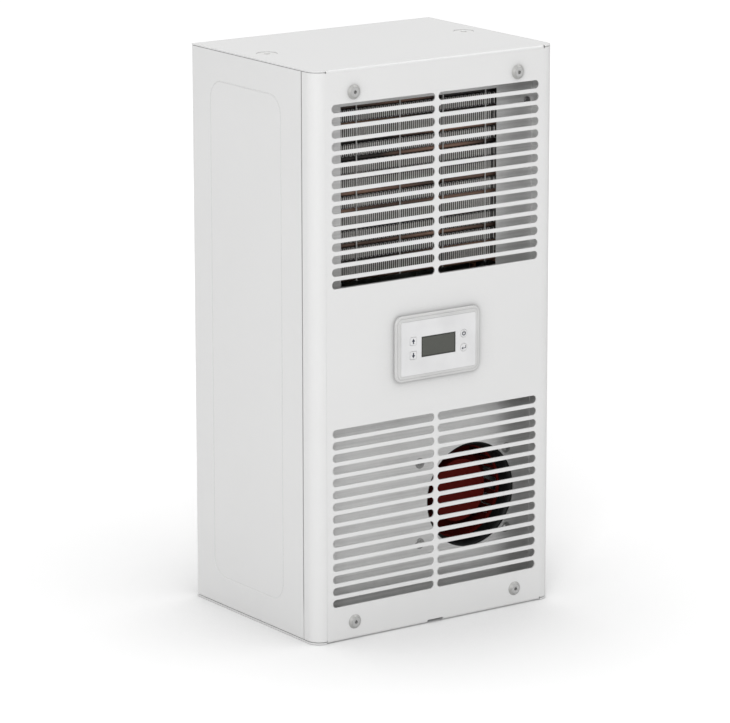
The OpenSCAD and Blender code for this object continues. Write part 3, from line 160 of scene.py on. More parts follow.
# Side sheets. Two folded steel sheets, mirror images. A shallow groove is pressed round the
# stiffening panel in the middle of each, and its front edge is set in behind the seam of the
# hood. They are sprayed with light grey powder coat and baked.
MM = 0.001
FACE_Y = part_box("front_hood")[0].y
SHEET = 1.5
SMOOTH_UNDER = 34
SEAM_Y = 20.9
REAR_Y = 207
HALF_W = 140
SIDE_LOW, SIDE_HIGH = 2.3, 548.1
REAR_BEND = 3
PANEL_Y = (54, 175)
PANEL_Z = (29.5, 520.5)
PANEL_ROUND = 19
PANEL_SLOPE = 1.1
PANEL_DEPTH = 0.4
GROOVE_HALF = 0.9
GROOVE_RISE = 0.3
PANEL_EDGE = 0.25
LIP_IN = 2.1
LIP_Y = 12
SIDE_EDGE = 0.15


def at(x, y, z):
    """Millimetres from the middle, from the hood's face and from the floor, as a place."""
    return Vector((x * MM, FACE_Y + y * MM, z * MM))


def add(kind, **size):
    bpy.ops.object.select_all(action="DESELECT")
    getattr(bpy.ops.mesh, "primitive_" + kind + "_add")(**size)
    return bpy.context.object


def outline(*corners, filled=True):
    """Flat shape whose corners are set one by one."""
    fill = "NGON" if filled else "NOTHING"
    piece = add("circle", vertices=len(corners), radius=MM, fill_type=fill)
    for vertex, corner in zip(piece.data.vertices, corners):
        vertex.co = at(*corner)
    return piece


def block(low, high):
    low, high = at(*low), at(*high)
    piece = add("cube", size=1, location=(low + high) / 2)
    piece.scale = high - low
    bpy.ops.object.transform_apply(location=True, rotation=True, scale=True)
    return piece


def rod(x, z, front, back, radius, sides=32):
    """Round bar along Y."""
    piece = add("cylinder", vertices=sides, radius=radius * MM, depth=(back - front) * MM,
                location=at(x, (front + back) / 2, z), rotation=(math.pi / 2, 0, 0))
    bpy.ops.object.transform_apply(location=True, rotation=True, scale=True)
    return piece


def edit(piece):
    bpy.ops.object.select_all(action="DESELECT")
    piece.select_set(True)
    bpy.context.view_layer.objects.active = piece
    bpy.ops.object.mode_set(mode="EDIT")
    bpy.ops.mesh.select_all(action="SELECT")


def leave():
    bpy.ops.object.mode_set(mode="OBJECT")


def pick(kind, test):
    """Select in edit mode; the test gets an item's middle, in millimetres, and the item."""
    mesh = bmesh.from_edit_mesh(bpy.context.edit_object.data)
    bpy.ops.mesh.select_mode(type=kind)
    bpy.ops.mesh.select_all(action="DESELECT")
    for item in {"VERT": mesh.verts, "EDGE": mesh.edges, "FACE": mesh.faces}[kind]:
        ends = [item] if kind == "VERT" else item.verts
        middle = sum((end.co for end in ends), Vector()) / len(ends)
        place = Vector((middle.x, middle.y - FACE_Y, middle.z)) / MM
        item.select_set(bool(test(place, item)))
    mesh.select_flush_mode()
    bmesh.update_edit_mesh(bpy.context.edit_object.data)


def run(edge):
    return (edge.verts[1].co - edge.verts[0].co).normalized()


def along(edge, axis):
    return abs(getattr(run(edge), axis)) > 0.9


def by(value, goal, gap=0.1):
    """Whether a measure in millimetres is the wanted one."""
    return abs(value - goal) < gap


def slice_at(place, across):
    bpy.ops.mesh.select_all(action="SELECT")
    bpy.ops.mesh.bisect(plane_co=at(*place), plane_no=across)


def weld(gap=0.01):
    bpy.ops.mesh.select_all(action="SELECT")
    bpy.ops.mesh.remove_doubles(threshold=gap * MM)
    bpy.ops.mesh.normals_make_consistent(inside=False)


def work(piece, kind, **settings):
    """Add a modifier with its settings and apply it."""
    bpy.ops.object.select_all(action="DESELECT")
    piece.select_set(True)
    bpy.context.view_layer.objects.active = piece
    step = piece.modifiers.new("step", kind)
    for label, value in settings.items():
        setattr(step, label, value)
    bpy.ops.object.modifier_apply(modifier=step.name)


def join(*pieces):
    bpy.ops.object.select_all(action="DESELECT")
    for piece in pieces:
        piece.select_set(True)
    bpy.context.view_layer.objects.active = pieces[0]
    bpy.ops.object.join()
    return pieces[0]


def repeat(piece, turns):
    """Copies of a piece at the given places, joined to one; the first is let go."""
    copies = []
    for turn in turns:
        twin = piece.copy()
        twin.data = piece.data.copy()
        twin.data.transform(turn)
        bpy.context.scene.collection.objects.link(twin)
        copies.append(twin)
    bpy.data.objects.remove(piece)
    return join(*copies)


def mirrored(piece):
    """A copy on the other side of the unit's middle."""
    twin = piece.copy()
    twin.data = piece.data.copy()
    twin.data.transform(Matrix.Scale(-1, 4, (1, 0, 0)))
    bpy.context.scene.collection.objects.link(twin)
    edit(twin)
    bpy.ops.mesh.normals_make_consistent(inside=False)
    leave()
    return twin


def shift(x, y, z):
    return Matrix.Translation(Vector((x, y, z)) * MM)


def punch(piece, *cutters):
    for cutter in cutters:
        work(piece, "BOOLEAN", operation="DIFFERENCE", solver="EXACT", object=cutter)
        bpy.data.objects.remove(cutter)


def break_edges(piece, width, steps=2, above=40, clamp=False):
    """Take the sharpness off the edges that turn by more than some degrees."""
    work(piece, "BEVEL", width=width * MM, segments=steps, limit_method="ANGLE",
         angle_limit=math.radians(above), use_clamp_overlap=clamp, miter_outer="MITER_ARC")


def settle(piece, name, material, body, *nodes):
    """Finish a piece: smooth shading, name, material, and what it rides on and replaces."""
    bpy.ops.object.select_all(action="DESELECT")
    piece.select_set(True)
    bpy.context.view_layer.objects.active = piece
    bpy.ops.object.shade_smooth_by_angle(angle=math.radians(SMOOTH_UNDER))
    work(piece, "WEIGHTED_NORMAL", keep_sharp=True)
    piece.name = name
    piece.data.name = name
    piece.data.materials.clear()
    piece.data.materials.append(material)
    if nodes:
        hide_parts(*nodes)
    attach(piece, body)


# The coat's skin: a fine orange peel, a slight cloud in its tone and a few darker specks.
def effect_group(name, inputs):
    """Node group for a skin, with its own inputs; it puts out Color, Roughness and Height."""
    group = bpy.data.node_groups.new(name, "ShaderNodeTree")
    group.interface.new_socket("Vector", in_out="INPUT", socket_type="NodeSocketVector")
    for label, value in inputs.items():
        kind = "NodeSocketColor" if isinstance(value, tuple) else "NodeSocketFloat"
        socket = group.interface.new_socket(label, in_out="INPUT", socket_type=kind)
        socket.default_value = value
    group.interface.new_socket("Color", in_out="OUTPUT", socket_type="NodeSocketColor")
    group.interface.new_socket("Roughness", in_out="OUTPUT", socket_type="NodeSocketFloat")
    group.interface.new_socket("Height", in_out="OUTPUT", socket_type="NodeSocketFloat")
    return group, group.nodes.new("NodeGroupInput").outputs, group.nodes.new("NodeGroupOutput").inputs


def feed(tree, socket, value):
    if isinstance(value, (int, float, tuple)):
        socket.default_value = value
    else:
        tree.links.new(value, socket)


def sum_of(tree, kind, first, second=0.0):
    """One step of arithmetic on two values or sockets."""
    node = tree.nodes.new("ShaderNodeMath")
    node.operation = kind
    feed(tree, node.inputs[0], first)
    feed(tree, node.inputs[1], second)
    return node.outputs[0]


def noise(tree, vector, scale, detail=2.0):
    node = tree.nodes.new("ShaderNodeTexNoise")
    node.inputs["Detail"].default_value = detail
    feed(tree, node.inputs["Vector"], vector)
    feed(tree, node.inputs["Scale"], scale)
    return node.outputs["Fac"]


def spread(tree, value, low, high, start=0.3, end=0.7):
    """Carry a value between start and end over to one between low and high."""
    node = tree.nodes.new("ShaderNodeMapRange")
    node.inputs["From Min"].default_value = start
    node.inputs["From Max"].default_value = end
    feed(tree, node.inputs["Value"], value)
    feed(tree, node.inputs["To Min"], low)
    feed(tree, node.inputs["To Max"], high)
    return node.outputs[0]


def shade(tree, colour, value):
    node = tree.nodes.new("ShaderNodeVectorMath")
    node.operation = "SCALE"
    feed(tree, node.inputs[0], colour)
    feed(tree, node.inputs["Scale"], value)
    return node.outputs[0]


def drawn_out(tree, vector, scale):
    node = tree.nodes.new("ShaderNodeMapping")
    node.inputs["Scale"].default_value = scale
    feed(tree, node.inputs["Vector"], vector)
    return node.outputs[0]


def places(tree):
    """X, Y and Z of the point being shaded, in metres of the frame."""
    axes = tree.nodes.new("ShaderNodeSeparateXYZ")
    tree.links.new(tree.nodes.new("ShaderNodeTexCoord").outputs["Object"], axes.inputs[0])
    return axes.outputs


def darken(material, share):
    """Scale a material's colour by a value that changes over the surface."""
    tree = material.node_tree
    colour = tree.nodes["Principled BSDF"].inputs["Base Color"]
    plain = colour.links[0].from_socket
    tree.links.new(shade(tree, plain, share), colour)


powder, given, made = effect_group("powder coat",
                                   {"Tint": (0.8, 0.8, 0.79, 1), "Gloss": 0.4, "Peel": 700.0})
peel = noise(powder, given["Vector"], given["Peel"])
cloud = noise(powder, given["Vector"], 14.0, 3.0)
speck = noise(powder, given["Vector"], 2600.0, 1.0)
tone = sum_of(powder, "MULTIPLY", spread(powder, cloud, 0.988, 1.0),
              spread(powder, speck, 0.985, 1.005))
uneven = spread(powder, cloud, -0.03, 0.03)
feed(powder, made["Color"], shade(powder, given["Tint"], tone))
feed(powder, made["Roughness"], sum_of(powder, "ADD", given["Gloss"], uneven))
feed(powder, made["Height"], sum_of(powder, "ADD", peel, sum_of(powder, "MULTIPLY", speck, 0.35)))


def coat(name, skin, effect, shader, depth=0.02, strength=0.3):
    """Material with one of the skins in it; the depth of its relief is in millimetres."""
    material = bpy.data.materials.new(name)
    material.use_nodes = True
    tree = material.node_tree
    surface = tree.nodes["Principled BSDF"]
    place = tree.nodes.new("ShaderNodeTexCoord")
    effects = tree.nodes.new("ShaderNodeGroup")
    effects.node_tree = skin
    tree.links.new(place.outputs["Object"], effects.inputs["Vector"])
    for label, value in effect.items():
        effects.inputs[label].default_value = value
    relief = tree.nodes.new("ShaderNodeBump")
    relief.inputs["Strength"].default_value = strength
    relief.inputs["Distance"].default_value = depth * MM
    tree.links.new(effects.outputs["Height"], relief.inputs["Height"])
    tree.links.new(relief.outputs[0], surface.inputs["Normal"])
    tree.links.new(effects.outputs["Color"], surface.inputs["Base Color"])
    tree.links.new(effects.outputs["Roughness"], surface.inputs["Roughness"])
    for label, value in shader.items():
        surface.inputs[label].default_value = value
    return material


def dress(material, *names):
    """Give a finish to nodes whose shape is kept."""
    for name in names:
        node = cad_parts[name]
        if not node.material_slots:
            node.data.materials.append(material)
        for slot in node.material_slots:
            slot.material = material


grey_coat = coat("light grey powder coat", powder, {"Tint": (0.76, 0.76, 0.757, 1), "Gloss": 0.40}, {})
# Painted shade: an occlusion test darkens the coat's colour in its seams and beside whatever stands
# on it; near the floor the painted shade fades out, because the floor throws light back there.
PAINTED_SHADE_REACH = 0.022
PAINTED_SHADE_DEPTH = 0.72
PAINTED_SHADE_MOST = 0.42
PAINTED_SHADE_LOW, PAINTED_SHADE_HIGH = 0.023, 0.045
tree = grey_coat.node_tree
near = tree.nodes.new("ShaderNodeAmbientOcclusion")
near.samples = 8
near.inputs["Distance"].default_value = PAINTED_SHADE_REACH
hidden = sum_of(tree, "POWER", sum_of(tree, "SUBTRACT", 1.0, near.outputs["AO"]), 0.5)
hidden = sum_of(tree, "MINIMUM", hidden, PAINTED_SHADE_MOST)
painted_shade_above_floor = spread(tree, places(tree)["Z"], 0.0, PAINTED_SHADE_DEPTH, PAINTED_SHADE_LOW, PAINTED_SHADE_HIGH)
darken(grey_coat, sum_of(tree, "SUBTRACT", 1.0, sum_of(tree, "MULTIPLY", hidden, painted_shade_above_floor)))

low_y, high_y = PANEL_Y[0] - PANEL_SLOPE, PANEL_Y[1] + PANEL_SLOPE
low_z, high_z = PANEL_Z[0] - PANEL_SLOPE, PANEL_Z[1] + PANEL_SLOPE
corners = ((high_y, low_z), (low_y, low_z), (low_y, high_z), (high_y, high_z))
panel = outline(*[(-HALF_W, y, z) for y, z in corners])
edit(panel)
bpy.ops.mesh.bevel(offset=(PANEL_ROUND + PANEL_SLOPE) * MM, segments=8, affect="VERTICES")
pick("FACE", lambda place, face: True)
bpy.ops.mesh.inset(thickness=PANEL_SLOPE * MM, depth=0)
bpy.ops.mesh.inset(thickness=GROOVE_HALF * MM, depth=-PANEL_DEPTH * MM)
bpy.ops.mesh.inset(thickness=GROOVE_HALF * MM, depth=GROOVE_RISE * MM)
pick("EDGE", lambda place, edge: len(edge.link_faces) == 2 and edge.calc_face_angle() > 0.1)
bpy.ops.mesh.bevel(offset=PANEL_EDGE * MM, segments=3, affect="EDGES")
bend_y = REAR_Y - REAR_BEND
middle = at(0, (bend_y + SEAM_Y) / 2, (SIDE_LOW + SIDE_HIGH) / 2)
for vertex in bmesh.from_edit_mesh(panel.data).verts:
    if vertex.is_boundary:
        vertex.co = at(-HALF_W, bend_y if vertex.co.y > middle.y else SEAM_Y,
                       SIDE_HIGH if vertex.co.z > middle.z else SIDE_LOW)
weld()
pick("EDGE", lambda place, edge: by(place.y, bend_y) and along(edge, "z"))
bpy.ops.mesh.spin(steps=6, angle=math.pi / 2, center=at(REAR_BEND - HALF_W, bend_y, 0), axis=(0, 0, 1))
pick("EDGE", lambda place, edge: by(place.y, SEAM_Y) and along(edge, "z"))
bpy.ops.mesh.extrude_region_move(TRANSFORM_OT_translate={"value": (LIP_IN * MM, 0, 0)})
bpy.ops.mesh.extrude_region_move(TRANSFORM_OT_translate={"value": (0, (LIP_Y - SEAM_Y) * MM, 0)})
weld()
leave()
work(panel, "SOLIDIFY", thickness=SHEET * MM, offset=-1, use_even_offset=True)
break_edges(panel, SIDE_EDGE)
far_panel = mirrored(panel)
settle(panel, "side_sheet_left", grey_coat, "casing", "side_panel_left")
settle(far_panel, "side_sheet_right", grey_coat, "casing", "side_panel_right")

# Rear wall. A flat sheet of the same steel between the rear bends of the sides, welded to them
# and coated with them; cut for the air, the nuts, the guard's screws and the power inlet.
REAR_CUT = (200, 214)
AIR_IN_Z, AIR_IN_RADIUS = 440, 48
VENT_X, VENT_LOW, VENT_PITCH, VENT_ROWS = 45, 58, 13, 5
VENT_RADIUS, VENT_STRETCH = 4, 35
NUT_X, NUT_LEVELS, NUT_HOLE = 124, (40.6, 275.6, 510.6), 4.45
GUARD_REACH, GUARD_HOLE = 59.5, 1.8
INLET_X, INLET_Z = 92, 375
INLET_CUT = (24, 22)
WALL_EDGE = 0.3


def long_hole(x, z, cut, radius, stretch, sides):
    """Cutter for a long hole: a rod whose two halves are drawn apart along X."""
    hole = rod(x, z, *cut, radius, sides=sides)
    edit(hole)
    for way in (1, -1):
        pick("VERT", lambda place, vertex: way * (place.x - x) > 0.1)
        bpy.ops.transform.translate(value=(way * stretch * MM, 0, 0))
    leave()
    return hole


def plate(x, z, span, half):
    """Rectangular plate or cutter about a middle; the span is where it starts and ends along Y."""
    return block((x - half[0], span[0], z - half[1]), (x + half[0], span[1], z + half[1]))


wall = block((REAR_BEND - HALF_W, REAR_Y - SHEET, SIDE_LOW), (HALF_W - REAR_BEND, REAR_Y, SIDE_HIGH))
rear_cuts = [rod(0, AIR_IN_Z, *REAR_CUT, AIR_IN_RADIUS, sides=64)]
for side in (-1, 1):
    for row in range(VENT_ROWS):
        level = VENT_LOW + row * VENT_PITCH
        rear_cuts.append(long_hole(side * VENT_X, level, REAR_CUT, VENT_RADIUS, VENT_STRETCH, sides=24))
    for level in NUT_LEVELS:
        rear_cuts.append(rod(side * NUT_X, level, *REAR_CUT, NUT_HOLE))
for turn in range(4):
    angle = math.radians(45 + 90 * turn)
    x, z = GUARD_REACH * math.cos(angle), AIR_IN_Z + GUARD_REACH * math.sin(angle)
    rear_cuts.append(rod(x, z, *REAR_CUT, GUARD_HOLE))
rear_cuts.append(plate(INLET_X, INLET_Z, REAR_CUT, INLET_CUT))
punch(wall, join(*rear_cuts))
break_edges(wall, WALL_EDGE)
settle(wall, "rear_sheet", grey_coat, "casing", "rear_wall")

# Socket carrier. A small plate of the same steel, welded to the inside of the rear wall and cut
# for the body of the power inlet.
CARRIER_Y = (204, 205.5)
CARRIER_HALF = (30, 28)
CARRIER_CUT = (19.15, 11.15)
carrier = plate(INLET_X, INLET_Z, CARRIER_Y, CARRIER_HALF)
punch(carrier, plate(INLET_X, INLET_Z, REAR_CUT, CARRIER_CUT))
break_edges(carrier, width=0.2)
settle(carrier, "socket_plate", grey_coat, "casing", "socket_carrier")

# Hood. One sheet of the same steel, folded into a face with two slotted grilles, round upright
# corners with short side returns, and a top and a bottom flange as deep as the unit. A small
# relief hole ends each fold; the lower edge has a notch.
CORNER = 13
RETURN_Y = 19.4
FOLD = 3
STRIP = 126.5
FLANGE_Y = 206
HEIGHT = 550
RELIEF = 0.8
PANEL_MIDDLE = 275.6
SLOT_ROWS = 15
SLOT_PITCH = 11.87
SLOT_REACH = 237.7
SLOT_HALF = 59
SLOT_RADIUS = 4
SLOT_X = 61
HOOD_CUT = (-3, 5)
DISPLAY_CUT = (42.5, 25.5)
NOTCH_HALF, NOTCH_Y, NOTCH_TOP = 9.3, 14, 3.1
SCREW_HOLE = 2.9
SCREW_PLACES = [(side * 95, level) for side in (-1, 1) for level in (17, 527.3)]
LIFT_X, LIFT_Y, LIFT_HOLE = 115, 114, 10
DRAIN_X, DRAIN_Y, DRAIN_HOLE = -90, 172, 12
HOOD_EDGE = 0.18

wrap = block((-HALF_W, 0, SIDE_LOW), (HALF_W, RETURN_Y, SIDE_HIGH))
edit(wrap)
pick("FACE", lambda place, face: face.normal.y > 0.9 or abs(face.normal.z) > 0.9)
bpy.ops.mesh.delete(type="FACE")
pick("EDGE", lambda place, edge: place.y < 0.1 and along(edge, "z"))
bpy.ops.mesh.bevel(offset=CORNER * MM, segments=12, affect="EDGES")
for x in (STRIP, -STRIP):
    slice_at((x, 0, 0), (1, 0, 0))
for z in (FOLD, HEIGHT - FOLD):
    slice_at((0, 0, z), (0, 0, 1))
pick("FACE", lambda place, face: abs(place.x) < STRIP and place.y < 0.1
     or abs(place.x) < HALF_W - CORNER and abs(place.z - HEIGHT / 2) > HEIGHT / 2 - FOLD)
bpy.ops.mesh.delete(type="FACE")
leave()

strip = block((-STRIP, 0, 0), (STRIP, RETURN_Y, HEIGHT))
edit(strip)
pick("FACE", lambda place, face: face.normal.y > 0.9 or abs(face.normal.x) > 0.9)
bpy.ops.mesh.delete(type="FACE")
pick("EDGE", lambda place, edge: place.y < 0.1 and along(edge, "x"))
bpy.ops.mesh.bevel(offset=FOLD * MM, segments=6, affect="EDGES")
leave()

flanges = []
for level in (0, HEIGHT):
    corners = ((-HALF_W, 0), (HALF_W, 0), (HALF_W, FLANGE_Y), (-HALF_W, FLANGE_Y))
    flange = outline(*[(x, y, level) for x, y in corners])
    edit(flange)
    pick("VERT", lambda place, vertex: place.y < 0.1)
    bpy.ops.mesh.bevel(offset=CORNER * MM, segments=12, affect="VERTICES")
    for x in (STRIP, -STRIP, HALF_W - CORNER, CORNER - HALF_W):
        slice_at((x, 0, 0), (1, 0, 0))
    for y in (FOLD, RETURN_Y):
        slice_at((0, y, 0), (0, 1, 0))
    pick("FACE", lambda place, face: abs(place.x) < STRIP and place.y < RETURN_Y
         or abs(place.x) < HALF_W - CORNER and place.y < FOLD)
    bpy.ops.mesh.delete(type="FACE")
    leave()
    flanges.append(flange)
hood = join(wrap, strip, *flanges)
edit(hood)
weld()
leave()
work(hood, "SOLIDIFY", thickness=SHEET * MM, offset=-1, use_even_offset=True)

slot = long_hole(-SLOT_X, PANEL_MIDDLE, HOOD_CUT, SLOT_RADIUS, SLOT_HALF - SLOT_RADIUS, sides=28)
slots = repeat(slot, [shift(across, 0, level * (SLOT_REACH - row * SLOT_PITCH))
                      for across in (0, 2 * SLOT_X) for level in (-1, 1) for row in range(SLOT_ROWS)])
openings = [slots, plate(0, PANEL_MIDDLE, HOOD_CUT, DISPLAY_CUT),
            block((-NOTCH_HALF, -1, -1), (NOTCH_HALF, NOTCH_Y, NOTCH_TOP))]
openings += [rod(x, z, *HOOD_CUT, SCREW_HOLE) for x, z in SCREW_PLACES]
openings += [rod(x, z, HOOD_CUT[0], FOLD, RELIEF, sides=16)
             for x in (-STRIP, STRIP) for z in (SIDE_LOW, SIDE_HIGH)]
for x, y, z, radius in ((-LIFT_X, LIFT_Y, HEIGHT, LIFT_HOLE), (LIFT_X, LIFT_Y, HEIGHT, LIFT_HOLE),
                        (DRAIN_X, DRAIN_Y, 0, DRAIN_HOLE)):
    openings.append(add("cylinder", vertices=48, radius=radius * MM, depth=0.01, location=at(x, y, z)))
    bpy.ops.object.transform_apply(location=True, rotation=True, scale=True)
punch(hood, join(*openings))
break_edges(hood, HOOD_EDGE)
settle(hood, "hood_sheet", grey_coat, "casing", "front_hood")

# Chassis, brackets and other inner sheet parts. Zinc-coated steel, cut and folded; the coat has
# faint crystals a few millimetres across and fine level lines from rolling.
zinc, given, made = effect_group("zinc coat", {"Tint": (0.6, 0.6, 0.6, 1), "Gloss": 0.35,
                                               "Crystals": 160.0, "Mottle": 0.06, "Lines": 0.08})
cells = zinc.nodes.new("ShaderNodeTexVoronoi")
feed(zinc, cells.inputs["Vector"], given["Vector"])
feed(zinc, cells.inputs["Scale"], given["Crystals"])
split = zinc.nodes.new("ShaderNodeSeparateColor")
feed(zinc, split.inputs[0], cells.outputs["Color"])
crystal = sum_of(zinc, "SUBTRACT", split.outputs[0], 0.5)
level_places = drawn_out(zinc, given["Vector"], (6.0, 6.0, 600.0))
lines = sum_of(zinc, "SUBTRACT", noise(zinc, level_places, 1.0, 3.0), 0.5)
mottle = sum_of(zinc, "MULTIPLY", crystal, given["Mottle"])
rolled = sum_of(zinc, "MULTIPLY", lines, given["Lines"])
uneven = sum_of(zinc, "ADD", mottle, rolled)
feed(zinc, made["Color"], shade(zinc, given["Tint"], sum_of(zinc, "ADD", uneven, 1.0)))
feed(zinc, made["Roughness"], sum_of(zinc, "ADD", given["Gloss"], uneven))
feed(zinc, made["Height"], sum_of(zinc, "ADD", lines, sum_of(zinc, "MULTIPLY", crystal, 0.1)))

METAL = {"Metallic": 1.0}
zinc_sheet = coat("zinc coated sheet", zinc, {"Tint": (0.60, 0.60, 0.595, 1), "Gloss": 0.38}, METAL,
                  depth=0.01)
dress(zinc_sheet, "chassis_roof", "chassis_base", "fan_scroll", "control_tray", "partition",
      "motor_bridge", "evaporator_plates")
plated = coat("zinc plated steel", zinc,
              {"Tint": (0.62, 0.62, 0.61, 1), "Gloss": 0.34, "Crystals": 900.0}, METAL)
dress(plated, "hood_nuts", "compressor_bolts", "board_standoffs")

# Hood screws and their washers. Four countersunk steel screws with a hexagon socket, each in a
# turned conical washer that stands proud of the hood; both are bright zinc gone a little dull.
def turned(profile, x, z, steps=40):
    """Piece turned about an axis along Y; its half section runs once round as (radius, y)."""
    piece = outline(*[(x + radius, y, z) for radius, y in profile], filled=False)
    edit(piece)
    bpy.ops.mesh.spin(steps=steps, angle=2 * math.pi, center=at(x, 0, z), axis=(0, 1, 0))
    weld(0.002)
    pick("EDGE", lambda place, edge: not edge.link_faces)
    bpy.ops.mesh.delete(type="EDGE")
    leave()
    return piece


def set_out(piece, spots):
    """Copies of a piece made at the first of some (x, z) places, at all of them."""
    first_x, first_z = spots[0]
    return repeat(piece, [shift(x - first_x, 0, z - first_z) for x, z in spots])


WASHER_SECTION = [(4.56, -2.3), (4.9, -2.3), (5.1, -2.2), (5.25, -2.0), (6.8, -0.3), (7.0, -0.1),
                  (7.0, 0), (2.5, 0)]
SCREW_SECTION = [(0, -2.5), (4.1, -2.5), (4.35, -2.46), (4.48, -2.3), (2.45, 0), (2.45, 15.5),
                 (2.0, 16), (0, 16)]
SOCKET_Y, SOCKET_HALF = (-3, 0.6), 1.9
washer_zinc = coat("dull zinc plated washer", zinc,
                   {"Tint": (0.42, 0.42, 0.41, 1), "Gloss": 0.55, "Crystals": 1200.0},
                   {"Metallic": 0.35})
screw_zinc = coat("zinc plated screw", zinc,
                  {"Tint": (0.50, 0.50, 0.495, 1), "Gloss": 0.42, "Crystals": 1200.0},
                  {"Metallic": 0.6})
x, z = SCREW_PLACES[0]
washer = turned(WASHER_SECTION, x, z)
settle(set_out(washer, SCREW_PLACES), "hood_washers", washer_zinc, "casing", "cup_washers")
screw = turned(SCREW_SECTION, x, z)
punch(screw, rod(x, z, *SOCKET_Y, SOCKET_HALF, sides=6))
settle(set_out(screw, SCREW_PLACES), "hood_fixing_screws", screw_zinc, "casing", "hood_screws")

# Air guide. A galvanised sheet behind the hood that parts the fresh air from the warm: a window
# in front of the condenser, a round hole for the fan, front lips at its sides, a foot and a top
# flange behind. It keeps its rolled, faintly brushed look.
GUIDE_Y = 33.5
GUIDE_HALF = 136.8
GUIDE_SHEET = 1.0
BEND_MID = 1.0
FOOT_HALF = 130
LIP_LOW, LIP_HIGH = 4.8, 518.9
FOOT_Z, CROWN_Z = 5.3, 518.5
GUIDE_LIP = 8
GUIDE_FLANGE = 8.4
GUIDE_CUT = (30, 37)
WINDOW_X, WINDOW_Z = (-87, 95), (335, 507.5)
FAN_X, FAN_Z, FAN_HOLE = 65.7, 109.6, 52.1
FAN_SCREW_HOLE, GUIDE_SCREW_HOLE = 2.0, 1.85
FAN_SCREWS = [(x, z) for x in (FAN_X - 60.8, FAN_X + 42.8) for z in (FAN_Z - 39.9, FAN_Z + 40.4)]
GUIDE_SCREWS = [(side * 131.0, level) for side in (-1, 1) for level in (492, 328)]
guide = outline(*[(x, GUIDE_Y, LIP_LOW) for x in (-GUIDE_HALF, -FOOT_HALF, FOOT_HALF, GUIDE_HALF)],
                (GUIDE_HALF, GUIDE_Y, LIP_HIGH), (-GUIDE_HALF, GUIDE_Y, LIP_HIGH))
edit(guide)
for z in (FOOT_Z, CROWN_Z):
    slice_at((0, 0, z), (0, 0, 1))
for x in (FOOT_HALF, -FOOT_HALF):
    slice_at((x, 0, 0), (1, 0, 0))
pick("FACE", lambda place, face: place.z < FOOT_Z and abs(place.x) < FOOT_HALF or place.z > CROWN_Z)
bpy.ops.mesh.delete(type="FACE")
for side in (-1, 1):
    pick("EDGE", lambda place, edge: by(place.x, side * GUIDE_HALF) and along(edge, "z"))
    middle = at(side * GUIDE_HALF, GUIDE_Y - BEND_MID, 0)
    bpy.ops.mesh.spin(steps=4, angle=side * math.pi / 2, center=middle, axis=(0, 0, 1))
    lip_x = side * (GUIDE_HALF + BEND_MID)
    pick("EDGE", lambda place, edge: by(place.x, lip_x, 0.05) and along(edge, "z"))
    bpy.ops.mesh.extrude_region_move(TRANSFORM_OT_translate={"value": (0, -GUIDE_LIP * MM, 0)})
for level, way, reach in ((FOOT_Z, -1, 1), (CROWN_Z, 1, GUIDE_HALF)):
    pick("EDGE", lambda place, edge: by(place.z, level, 0.05) and along(edge, "x")
         and by(place.y, GUIDE_Y, 0.05) and abs(place.x) < reach)
    middle = at(0, GUIDE_Y + BEND_MID, level)
    bpy.ops.mesh.spin(steps=4, angle=way * math.pi / 2, center=middle, axis=(1, 0, 0))
    pick("EDGE", lambda place, edge: by(place.z, level + way * BEND_MID, 0.05) and along(edge, "x")
         and place.y > GUIDE_Y + 0.9)
    bpy.ops.mesh.extrude_region_move(TRANSFORM_OT_translate={"value": (0, GUIDE_FLANGE * MM, 0)})
weld()
leave()
work(guide, "SOLIDIFY", thickness=GUIDE_SHEET * MM, offset=0, use_even_offset=True)
window = block((WINDOW_X[0], GUIDE_CUT[0], WINDOW_Z[0]), (WINDOW_X[1], GUIDE_CUT[1], WINDOW_Z[1]))
holes = [window, rod(FAN_X, FAN_Z, *GUIDE_CUT, FAN_HOLE, sides=96)]
holes += [rod(x, z, *GUIDE_CUT, FAN_SCREW_HOLE) for x, z in FAN_SCREWS]
holes += [rod(x, z, *GUIDE_CUT, GUIDE_SCREW_HOLE) for x, z in GUIDE_SCREWS]
punch(guide, join(*holes))
break_edges(guide, width=0.12)
guide_zinc = coat("rolled zinc coated sheet", zinc,
                  {"Tint": (0.70, 0.70, 0.695, 1), "Gloss": 0.44, "Mottle": 0.03, "Lines": 0.45},
                  {"Metallic": 0.5}, depth=0.01)
# Its lower right end is painted darker, a painted shade.
GUIDE_SHADE_FROM, GUIDE_SHADE_TO, GUIDE_SHADE_SHARE = 96, 114, 0.72
GUIDE_SHADE_TOP, GUIDE_SHADE_END = 240, 300
tree = guide_zinc.node_tree
spot = places(tree)
aside = spread(tree, spot["X"], 0.0, 1 - GUIDE_SHADE_SHARE, GUIDE_SHADE_FROM * MM, GUIDE_SHADE_TO * MM)
below = spread(tree, spot["Z"], 1.0, 0.0, GUIDE_SHADE_TOP * MM, GUIDE_SHADE_END * MM)
darken(guide_zinc, sum_of(tree, "SUBTRACT", 1.0, sum_of(tree, "MULTIPLY", aside, below)))
settle(guide, "air_guide_sheet", guide_zinc, "casing", "air_guide")

# Screws of the air guide and of the fan. Pan heads with a cross recess hold the guide; the
# fan's scroll hangs on four screws with wide washer heads. Zinc plated, a little oiled.
CROSS_HALF = 0.45
PAN_SECTION = [(0, 31.2), (2.2, 31.22), (3.0, 31.4), (3.45, 31.8), (3.6, 32.4), (3.6, 33), (1.8, 33),
               (1.8, 38.4), (1.2, 39), (0, 39)]
FLANGED_SECTION = [(0, 30.85), (1.9, 30.87), (2.7, 31.05), (3.1, 31.5), (3.15, 32.2), (5.0, 32.35),
                   (5.2, 32.55), (5.2, 33), (1.65, 33), (1.65, 46.7), (1.1, 47.4), (0, 47.4)]


